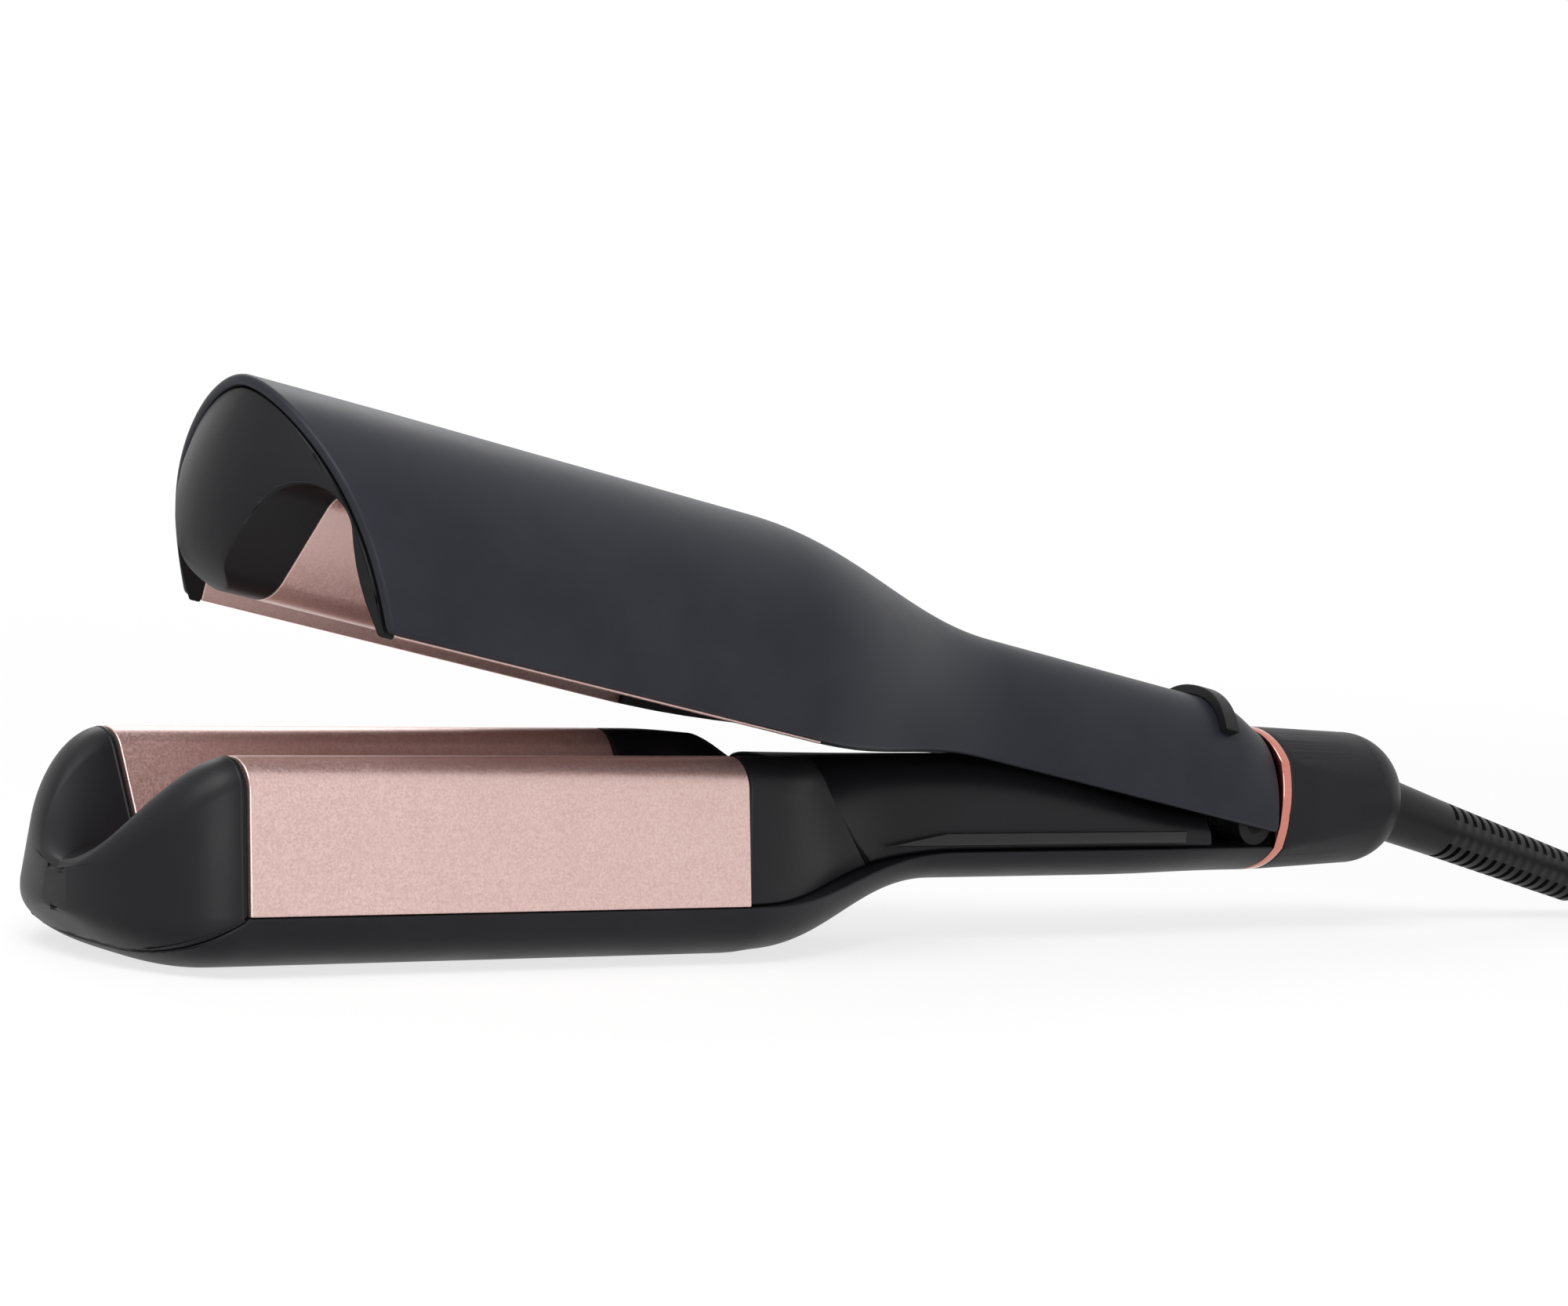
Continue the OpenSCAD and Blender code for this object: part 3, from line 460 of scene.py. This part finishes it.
# %% [markdown]
# The arms narrow from the jaw to the grip along smooth steps, written with the same easing as
# in the CAD model. The side wall of the wave leans inwards, so its half width depends on the
# height, and a gap moves the wall straight out.

# %% Sizes along the arms
CREST_Z = CREST_TOP - CREST_R
WALL_DIR = (math.atan2(SEAM_Z - CREST_Z, JAW_HALF - CREST_Y)
            + math.acos(CREST_R / math.hypot(JAW_HALF - CREST_Y, SEAM_Z - CREST_Z)))


def foot_at(gap, z):
    lean = CREST_Y * math.cos(WALL_DIR) + CREST_Z * math.sin(WALL_DIR) + CREST_R + gap
    return (lean - z * math.sin(WALL_DIR)) / math.cos(WALL_DIR)


UPPER_HALF = foot_at(HAIR_GAP + SHEET, UPPER_RIM) + SHELL


def arm_w(x):
    return mix(mix(UPPER_HALF, GRIP_HALF, ease(UP_X1 - 4, NECK_X1 + 8, x)), CAP_HALF,
               ease(TAIL_X, RING_X, x))


def arm_top(x):
    return mix(mix(UPPER_TOP, GRIP_TOP, ease(UP_X1 - 6, NECK_X1 + 8, x)), CAP_TOP,
               ease(TAIL_X, RING_X - 1, x))


def arm_rim(x):
    return mix(UPPER_RIM, GRIP_RIM, ease(UP_X1, NECK_X1 + 4, x))


def tray_w(x):
    return mix(JAW_HALF, TRAY_HALF, ease(PLATE_X1, NECK_X1 - 4, x))


def tray_z(x):
    return mix(SEAM_Z, TRAY_EDGE, ease(PLATE_X1 + 6, NECK_X1 + 2, x))


def tray_low(x):
    return mix(0, TRAY_UNDER, ease(PLATE_X1 + 8, NECK_X1, x))


def neck_half(x):
    return mix(JAW_HALF - 0.8, TRAY_HALF - 1.2, ease(PLATE_X1 - 1, NECK_X1 - 13, x))


def swing(piece):
    """Turns a piece that was made closed up to the open pose, in its mesh."""
    pin = Vector((PIN_X, 0, PIN_Z)) * 0.001
    piece.data.transform(Matrix.Translation(pin) @ Matrix.Rotation(OPEN_ANGLE, 4, "Y")
                         @ Matrix.Translation(-pin))
    return piece


print("upper half width", round(UPPER_HALF, 2), "mm")

# %% [markdown]
# ## The lower nose and the lower casing
# The nose shrinks from the jaw's full section to a small rounded tip, like a boat's bow. The
# seam between the nose cap and the casing slopes down and forwards. Each station is cut by
# that slope where it stands, by starting the belly further down, so no cut is needed later.

# %% Lower nose
NOSE, TIP_Z, FLAT = 19.4, 11.5, 0.4
NOSE_STEPS, NOSE_END = 36, 0.992
SEAM_SLOPE = 8 / 14


def nose_k(s):
    """Share of the full section that is left at a share s of the nose."""
    return math.sqrt(1 - s ** 2.1)


def nose_low(s):
    """Height of the nose's underside, which curves up to the tip."""
    return (TIP_Z - 3) * s ** 2.6 - FLAT


def seam_start(x, low, n=3.0, lift=0.0):
    """Angle along the belly at which the sloping seam meets it."""
    plane = SEAM_Z + min(0, x - PLATE_X0) * SEAM_SLOPE + lift
    share = min(1, max(0, (SEAM_Z - plane) / (SEAM_Z - low)))
    return math.asin(share ** (n / 2))


def on_table(points):
    return [(x, y, max(z, 0)) for x, y, z in points]


nose_rings = []
for i in range(NOSE_STEPS + 1):
    s = NOSE_END * math.sin(math.pi / 2 * (NOSE_STEPS - i) / NOSE_STEPS)
    k, x = nose_k(s), PLATE_X0 - NOSE * s - (FIT if i == NOSE_STEPS else 0)
    top = mix(CREST_TOP, TIP_Z + 3, s ** 1.85)
    upper = wave_half(CREST_Y * k, top, CREST_R * k, min(VALLEY_FLOOR, top - 0.6),
                      VALLEY_R * k, JAW_HALF * k, SEAM_Z)
    seam = seam_start(x, nose_low(s), lift=FIT)
    side = belly(JAW_HALF * k, SEAM_Z, nose_low(s), 3, 0, seam, 20)[1:]
    section = whole(upper) + side + [(-y, z) for y, z in reversed(side)]
    nose_rings.append(on_table([(x, y, z) for y, z in section]))
lower_nose = loft("lower_nose", nose_rings)
finish(lower_nose, black_nylon, ["lower_tip_cap"], "lower_arm", 0.9)

# %% [markdown]
# At the hinge the casing's underside flows into the oval of the band, so that the band shows
# all the way round.

# %% Lower casing
AXIS_Z, OVAL_RISE = 24.6, 13.7
FLOW_X0, FLOW_DROP, FLOW_REACH = 150, 0.3, 2
TRAY_STEPS, TRAY_START = 19, 0.645


def to_oval(x, y, z):
    """Moves a point of the casing's section onto the band's oval towards the hinge."""
    k = ease(FLOW_X0, RING_X - FIT, x)
    level = z + FLOW_DROP * k * (TRAY_EDGE - z) / (TRAY_EDGE - TRAY_UNDER)
    oval = math.sqrt(max(0, OVAL_RISE ** 2 - (AXIS_Z - level) ** 2))
    return mix(y, math.copysign(min(oval, abs(y) + FLOW_REACH), y), k), level


tray_rings = []
for i in range(TRAY_STEPS + 1):
    s = TRAY_START * (TRAY_STEPS - i) / TRAY_STEPS
    x = PLATE_X0 - NOSE * s
    seam = seam_start(x, nose_low(s))
    under = belly(JAW_HALF * nose_k(s), SEAM_Z, nose_low(s), 3, seam, math.pi - seam)
    tray_rings.append(on_table([(x, y, z) for y, z in under]))
along_jaw = [-30, 0, 30]
along_tail = [120, 140, 150, 158, 165, 171, 176, 180, 184, RING_X - FIT]
along_neck = [mix(PLATE_X1, NECK_X1, k / 36) for k in range(37)]
for x in along_jaw + along_neck + along_tail:
    n = mix(3, 2.2, ease(PLATE_X1, NECK_X1, x))
    low = tray_low(x) - FLAT * (1 - ease(PLATE_X1 + 2, PLATE_X1 + 8, x))
    under = belly(tray_w(x), tray_z(x), low, n)
    tray_rings.append(on_table([(x, *to_oval(x, y, z)) for y, z in under]))
lower_shell = loft("lower_shell", tray_rings)
finish(lower_shell, soft_touch_black, ["lower_casing"], "lower_arm", 0.5)

# %% [markdown]
# ## The wave plates
# Each plate is one pressed sheet. Its section is extruded once along the arm, and a Solidify
# modifier gives the sheet its 1.2 mm, inwards from the face that the hair touches.

# %% Plates
def wave_line(gap, low, fine=4):
    half = wave_half(CREST_Y, CREST_TOP + gap, CREST_R + gap, VALLEY_FLOOR + gap,
                     VALLEY_R - gap, foot_at(gap, low), low, fine)
    return whole(half)


UPPER_START, WALL_SETBACK = -38, 8
WALL_Y0, WALL_Y1 = 17, 31
EDGE_SHOWS = 0.5


def plate_front(y):
    """Where the upper plate starts. Its outer walls start behind the swept-back lip."""
    return UPPER_START + WALL_SETBACK * ease(WALL_Y0, WALL_Y1, abs(y))


lower_line = wave_line(0, SEAM_Z + FIT)
lower_sheet = loft("lower_wave_plate", [[(x, y, z) for y, z in lower_line]
                                        for x in (PLATE_X0, PLATE_X0 + 1, 0, PLATE_X1 - 1, PLATE_X1)],
                   closed=False)
upper_line = wave_line(HAIR_GAP, UPPER_RIM - EDGE_SHOWS)
upper_sheet = loft("upper_wave_plate", [
    [(mix(plate_front(y), UP_X1, k), y, z) for y, z in reversed(upper_line)]
    for k in (0, 0.01, 0.5, 0.99, 1)], closed=False)
finish(lower_sheet, rose_coating, ["lower_plate"], "lower_arm", 0.25, SHEET)
finish(swing(upper_sheet), rose_coating, ["upper_plate"], "upper_arm",
       0.25, SHEET, 1)

# %% [markdown]
# ## The upper casing and its nose
# The casing is an arch that is open below. Its front edge slants and its rear edge stops short
# of the band in both poses, so the first and last stations lean with those edges. The wall is
# 2 mm, and the bevel turns its rim into the rounded lip that frames the nose.

# %% Upper casing
LIP_FOOT_X, LIP_CROWN_X = -32.4, -50.8
LIP_N, ARCH_N = 1.75, 2.3


def front_edge(z):
    return mix(LIP_FOOT_X, LIP_CROWN_X, (z - UPPER_RIM) / (UPPER_TOP - UPPER_RIM))


def arch_n(x):
    """How square the arch is. It comes to a slight point towards the nose."""
    return mix(LIP_N, ARCH_N, ease(-52, -30, x))


def rear_edge(z):
    """Where the arm ends, flush with the band when open and clear of it when shut."""
    opened = (RING_X - FIT - PIN_X - (z - PIN_Z) * math.sin(OPEN_ANGLE)) / math.cos(OPEN_ANGLE)
    return min(RING_X - FIT, PIN_X + opened)


def arm_ring(x_of, shrink=0.0, steps=64):
    """A station of the arch whose place along the arm depends on the height."""
    points = []
    for i in range(steps + 1):
        x = x_of(30)
        for _ in range(3):
            y, z = arch(arm_w(x) - shrink, arm_top(x) - shrink, arm_rim(x), arch_n(x), steps)[i]
            x = x_of(z)
        points.append((x, y, z))
    return points


lead_in = [0, 1.2, 3.5, 10, 24]
stations = [lambda z, d=d: front_edge(z) + d for d in lead_in]
upright_places = [0, 20, 40] + [mix(UP_X1 - 6, NECK_X1 + 8, k / 28) for k in range(29)]
upright_places += [130, 150, 165, TAIL_X]
stations += [lambda z, x=x: x for x in upright_places]
stations += [lambda z, k=k: mix(TAIL_X, rear_edge(z), k) for k in (0.25, 0.5, 0.75, 0.92, 1)]
upper_shell = loft("upper_shell", [arm_ring(x_of) for x_of in stations], closed=False)
finish(swing(upper_shell), soft_touch_charcoal, ["upper_casing"], "upper_arm",
       0.9, SHELL)

# %% [markdown]
# The nose closes the arch with a solid moulding. Its outline follows the casing's lip, and
# its face swells forwards like a shield, most of all at the tongue that drops into the lower
# valley. It is lofted across the arm, from the foot on one side to the foot on the other.

# %% Upper nose
BULGE, TUCK, TUCK_HEIGHT = 16.0, 0.25, 6
FACE_STEPS = (0, 0.06, 0.18, 0.32, 0.46, 0.6, 0.72, 0.83, 0.92, 0.97, 1)
nose_low_z = UPPER_RIM - 0.8
outer_w, outer_top = UPPER_HALF - SHELL - FIT, UPPER_TOP - SHELL - FIT


def lip_level(y, z):
    """Nought at the middle of the rim and one all along the casing's lip."""
    n = arch_n(front_edge(z))
    t = min(max((z - UPPER_RIM) / (outer_top - UPPER_RIM), 0), 1)
    return min(1, (abs(y) / outer_w) ** n + t ** n)


def face_x(y, z):
    """Place of the nose's face, which tucks back a little under the tongue."""
    under = max(0, 1 - (z - VALLEY_FLOOR - HAIR_GAP) / TUCK_HEIGHT)
    swell = BULGE * (1 - lip_level(y, z) ** 0.9) * (1 - TUCK * under ** 2)
    return front_edge(z) - FIT - swell


def outer_height(y):
    """Height at which the casing's lip is this far from the middle."""
    low, high = nose_low_z, outer_top
    for _ in range(30):
        mid = (low + high) / 2
        low, high = (mid, high) if lip_level(y, mid) < 1 else (low, mid)
    return low


def wave_height(y, line):
    """Height of the wave's line at a place across the arm."""
    for (y0, z0), (y1, z1) in zip(line, line[1:]):
        if y0 <= y <= y1 and y1 > y0:
            return mix(z0, z1, (y - y0) / (y1 - y0))
    return nose_low_z


hollow = wave_line(HAIR_GAP, nose_low_z, 6)
across = sorted({round(y, 4) for y, _ in hollow if abs(y) < outer_w - 0.4}
                | {outer_w * math.sin(math.pi / 2 * k / 40) * 0.995 for k in range(-40, 41)})
columns = []
for y in across:
    z1 = outer_height(y)
    z0 = min(max(wave_height(y, hollow), nose_low_z), z1 - 0.4)
    front = [(face_x(y, z), y, z) for z in [mix(z1, z0, k) for k in FACE_STEPS]]
    z_mid = max(mix(nose_low_z, z1, 0.8), mix(z0, z1, 0.5))
    back = max(plate_front(y) - FIT, front[-1][0] + 0.6)
    columns.append(front + [(back, y, z0), (back, y, z_mid), (front_edge(z1) + 2.5, y, z1)])
upper_nose = loft("upper_nose", columns)
finish(swing(upper_nose), black_nylon, ["upper_tip_cap"], "upper_arm", 0.3)

# %% [markdown]
# ## The necks and the inner grip
# Behind the plates a black frame turns the wave into the slim handle. Its end slants back, and
# the rounded grip body starts there. Both are lofted over stations that lean with the slant.

# %% Lower neck and grip body
GRIP_X0, GRIP_X1, CUT_LEN = 68.0, 172.0, 17.0
DROP_X0, GRIP_DROP = 122, 9.5
CUT_SLOPE = CUT_LEN / (TRAY_EDGE + 1 - INNER_TOP - 2)


def neck_line(x, z):
    """The wave's section on its way into the grip, with its foot at the height z."""
    t, u = ease(UP_X1 - 3, NECK_X1 - 18, x), ease(UP_X1, UP_X1 + 18, x)
    top = mix(CREST_TOP, INNER_TOP, ease(PLATE_X1 + 4, NECK_X1, x))
    floor = mix(VALLEY_FLOOR, top - 1.2, u)
    return whole(wave_half(mix(CREST_Y, 4.6, t), top, mix(CREST_R, 5, t), floor,
                           max(2, mix(VALLEY_R, 4, u)), neck_half(x), z))


def cut_x(z):
    return GRIP_X0 + (z - INNER_TOP - 2) * CUT_SLOPE


def leaning(line_at, x_of):
    """A station whose points each slide along the arm to where their height puts them."""
    count = len(line_at(x_of(25)))
    points = []
    for i in range(count):
        x = x_of(25)
        for _ in range(4):
            y, z = line_at(x)[i]
            x = x_of(z)
        points.append((x, y, z))
    return points


neck_rings = [leaning(lambda x: neck_line(x, tray_z(x) + FIT),
                      lambda z, k=k: mix(PLATE_X1 + FIT, cut_x(z), k))
              for k in [0, 0.04] + [i / 16 for i in range(1, 16)] + [0.97, 1]]
lower_frame = loft("lower_neck_frame", neck_rings)
finish(lower_frame, black_nylon, ["lower_neck"], "lower_arm", 0.6)


def grip_line(x):
    top = INNER_TOP - GRIP_DROP * ease(DROP_X0, GRIP_X1, x)
    return arch(neck_half(x) - 0.1, top, tray_z(x) + FIT, 2.5, 40)


grip_rings = [leaning(grip_line, lambda z, k=k: mix(cut_x(z) + FIT, GRIP_X1, k))
              for k in [0, 0.012] + [i / 24 for i in range(1, 24)] + [0.99, 1]]
inner_grip = loft("inner_grip", grip_rings)
finish(inner_grip, black_nylon, ["grip_body"], "lower_arm", 0.8)

# %% [markdown]
# ## The lock slider
# The slider is a narrow bar bent over the crown of the grip, so that a thumb finds it from
# either side. Its underside follows the casing at a running gap of 0.1 mm, and a Solidify
# modifier gives the bar its height.

# %% Lock slider
SLIDER_X, SLIDER_HALF, SLIDER_GAP, SLIDER_H = 171.0, 10.5, 0.1, 1.9
crown_line = arch(GRIP_HALF + SLIDER_GAP, GRIP_TOP + SLIDER_GAP, GRIP_RIM, ARCH_N, 96)
crown = [(y, z) for y, z in crown_line if abs(y) <= SLIDER_HALF]
slider_bar = loft("lock_slider_bar", [[(SLIDER_X + dx, y, z) for y, z in crown]
                                      for dx in (-1.7, -0.6, 0.6, 1.7)], closed=False)
finish(swing(slider_bar), black_nylon, ["slider_knob"], "lock_slider",
       0.25, SLIDER_H, 1)

# %% [markdown]
# ## The strain relief
# The relief is one moulded sleeve. Behind a smooth collar its upper and lower sides are slotted
# so that it bends evenly, while a solid spine on each flank carries the pull. Each slot is a
# pair of stations whose points drop to the core, except where the spines run.

# %% Strain relief
RELIEF_LEN, RELIEF_DROP, SLOTS = 64.0, math.radians(15), 16
RELIEF_R, CORE_R, SPINE = 6.1, CORD_D / 2 + 1.1, 0.86
BAND_LEN, CAP_LEN, ROOT_LEN, COLLAR_LEN, SLOTS_FROM = 2.2, 35, 5, 4.2, 0.32
relief_start = Vector((RING_X + BAND_LEN + CAP_LEN - ROOT_LEN, 0, AXIS_Z - 0.6))
along = Vector((math.cos(RELIEF_DROP), 0, -math.sin(RELIEF_DROP)))
upright = Vector((math.sin(RELIEF_DROP), 0, math.cos(RELIEF_DROP)))


def relief_ring(s, radius, slotted):
    points = []
    for k in range(48):
        a = 2 * math.pi * (k + 0.5) / 48
        r = CORE_R if slotted and abs(math.cos(a)) < SPINE else radius
        points.append(relief_start + s * along + r * math.sin(a) * upright
                      + Vector((0, r * math.cos(a), 0)))
    return points


pitch = RELIEF_LEN * (1 - SLOTS_FROM) / SLOTS
relief_rings = [relief_ring(0, RELIEF_R, False), relief_ring(COLLAR_LEN, RELIEF_R, False)]
for k in range(SLOTS):
    s = RELIEF_LEN * SLOTS_FROM + pitch * k
    radius = mix(RELIEF_R - 0.5, CORD_D / 2 + 1.5, k / SLOTS)
    relief_rings += [relief_ring(s, radius, False), relief_ring(s + 0.52 * pitch, radius, False),
                     relief_ring(s + 0.56 * pitch, radius, True),
                     relief_ring(s + 0.96 * pitch, radius, True)]
relief_rings.append(relief_ring(RELIEF_LEN, CORD_D / 2 + 0.7, False))
relief = loft("slotted_relief", relief_rings)
finish(relief, black_pvc, ["strain_relief"], "lower_arm", 0)

# %% [markdown]
# ## Pieces that keep their CAD shape
# The end cap, band, plug and control strips already have exact shapes. A copy of each
# has its loose triangles merged and its flat areas joined, so that a bevel can round its edges
# and smooth shading can run over its curves. The CAD object itself stays as it is.

# %% Smoothed copies
def dressed(node_name, name, material, rim_mm):
    bm = bmesh.new()
    bm.from_mesh(frame["nodes"][node_name].data)
    bmesh.ops.remove_doubles(bm, verts=bm.verts, dist=2e-6)
    bmesh.ops.dissolve_limit(bm, angle_limit=math.radians(0.5), verts=bm.verts, edges=bm.edges)
    mesh = bpy.data.meshes.new(name)
    bm.to_mesh(mesh)
    bm.free()
    piece = bpy.data.objects.new(name, mesh)
    bpy.context.scene.collection.objects.link(piece)
    body = next(b for b, members in frame["record"]["behaviour"]["bodies"].items()
                if node_name in members)
    return finish(piece, material, [node_name], body, rim_mm)


dressed("end_cap", "end_cap_moulding", soft_touch_black, 0.5)
dressed("trim_ring", "rose_band", rose_plating, 0.25)
plug = dressed("plug_body", "mains_plug", plug_pvc, 0.6)
pins = dressed("plug_pins", "plug_pin_pair", nickel_pin, 0.4)
dressed("control_strips", "control_strip_pair", polished_black, 0.3)

# %% [markdown]
# ## Pieces that are only given a finish
# The inner works and the upper neck hardly show, so the CAD model's own shapes are good enough.
# They could be copied and bevelled like the pieces above, but a material alone is cheaper.

# %% Plain CAD nodes with a finish
plain_finishes = {
    "upper_neck": black_nylon, "hinge_block": black_nylon, "hinge_yoke": black_nylon,
    "hinge_pin": blackened_steel, "opening_spring": spring_steel, "lower_carrier": grey_carrier,
    "upper_carrier": grey_carrier, "lower_heater": heater_alloy, "upper_heater": heater_alloy,
    "circuit_board": green_board}
for node_name, material in plain_finishes.items():
    mesh = frame["nodes"][node_name].data
    mesh.materials.clear()
    mesh.materials.append(material)
print("finishes on", len(plain_finishes), "CAD nodes")

# %% [markdown]
# ## Finishing the cord
# The cable gets its PVC finish, the CAD model's cord pieces are hidden, and the cable moves with the
# lower arm.

cord_curve.materials.append(black_pvc)
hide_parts("cord", "cord_coil", "cord_tail")
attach(mains_cord, "lower_arm")

# %% [markdown]
# ## The floor
# The tool lies on a plain pale surface. Paper alone would render grey where little light
# falls, so the floor glows white to the camera, to mirrors and to clear pieces, the more so
# the farther it is from the tool. Near the tool the paper keeps its soft shadow.

# %% Floor
def seen_white(tree):
    """One for rays that come from the camera, a mirror or a clear piece, and else nought."""
    rays = node(tree, "ShaderNodeLightPath").node.outputs
    either = node(tree, "ShaderNodeMath", {"operation": "MAXIMUM"}, {
        0: rays["Is Camera Ray"], 1: rays["Is Glossy Ray"]})
    return node(tree, "ShaderNodeMath", {"operation": "MAXIMUM"}, {
        0: either, 1: rays["Is Transmission Ray"]})


floor_mesh = bpy.data.meshes.new("floor")
bm = bmesh.new()
bmesh.ops.create_grid(bm, x_segments=1, y_segments=1, size=6)
bm.to_mesh(floor_mesh)
bm.free()
floor = bpy.data.objects.new("floor", floor_mesh)
bpy.context.scene.collection.objects.link(floor)

floor_paint, tree, shader, place = new_material("matt_white_paper")
speck = node(tree, "ShaderNodeTexNoise", None, {"Vector": place, "Scale": 1000 / 3})
fill(tree, shader, {"Roughness": 0.9, "Base Color": node(
    tree, "ShaderNodeMix", {"data_type": "RGBA"}, {
        0: speck, 6: from_hex("#f6f6f6"), 7: from_hex("#fafafa")}, out=2)})
glow = node(tree, "ShaderNodeEmission", None, {"Color": (1, 1, 1, 1), "Strength": 1.0})
away = node(tree, "ShaderNodeVectorMath", {"operation": "DISTANCE"}, {
    0: place, 1: (0.12, 0, 0)}, out="Value")
whiteness = node(tree, "ShaderNodeMapRange", None, {
    "Value": away, "From Min": 0.25, "From Max": 0.7, "To Min": 0.74, "To Max": 1.0})
share = node(tree, "ShaderNodeMath", {"operation": "MULTIPLY"}, {
    0: seen_white(tree), 1: whiteness})
both = node(tree, "ShaderNodeMixShader", None, {0: share, 1: shader.outputs[0], 2: glow})
fill(tree, tree.nodes["Material Output"], {"Surface": both})
floor_mesh.materials.append(floor_paint)

# %% [markdown]
# ## The surroundings
# The background is white to the camera, to mirrors and to clear pieces. To every other ray it
# is much dimmer, because a fully white room would wash the shading out of the black pieces.

# %% World
world = bpy.data.worlds.new("studio")
bpy.context.scene.world = world
world.use_nodes = True
tree = world.node_tree
tree.nodes.clear()
plain = node(tree, "ShaderNodeBackground", None, {"Color": (1, 1, 1, 1), "Strength": 0.35})
white = node(tree, "ShaderNodeBackground", None, {"Color": (1, 1, 1, 1), "Strength": 1.0})
pick = node(tree, "ShaderNodeMixShader", None, {
    0: seen_white(tree), 1: plain, 2: white})
node(tree, "ShaderNodeOutputWorld", None, {"Surface": pick})

# %% [markdown]
# ## The lamps
# Three large soft lamps light the tool: one above and in front for the broad sheen on the
# upper casing, one low at the camera's side for the near plate, and a dim one behind to lift
# the handle's edge. Area lamps are used because a big source gives soft edges to a highlight.

# %% Lamps
def softbox(name, place, aim, size, watts):
    data = bpy.data.lights.new(name, "AREA")
    data.shape = "RECTANGLE"
    data.size, data.size_y = size
    data.energy = watts
    lamp = bpy.data.objects.new(name, data)
    lamp.location = place
    lamp.rotation_euler = (Vector(aim) - Vector(place)).to_track_quat("-Z", "Y").to_euler()
    bpy.context.scene.collection.objects.link(lamp)


softbox("key", (-0.5, -0.35, 1.1), (0.0, 0, 0.04), (0.9, 0.6), 12)
softbox("plate_fill", (-0.3, -1.2, 0.25), (0.0, 0, 0.02), (0.7, 0.4), 5)
softbox("back_rim", (0.5, 1.0, 0.8), (0.1, 0, 0.04), (0.8, 0.4), 4)

# %% [markdown]
# ## Last step
# The view transform is Standard, so a colour renders about as it is written.

# %% Finish
bpy.context.scene.view_settings.view_transform = "Standard"
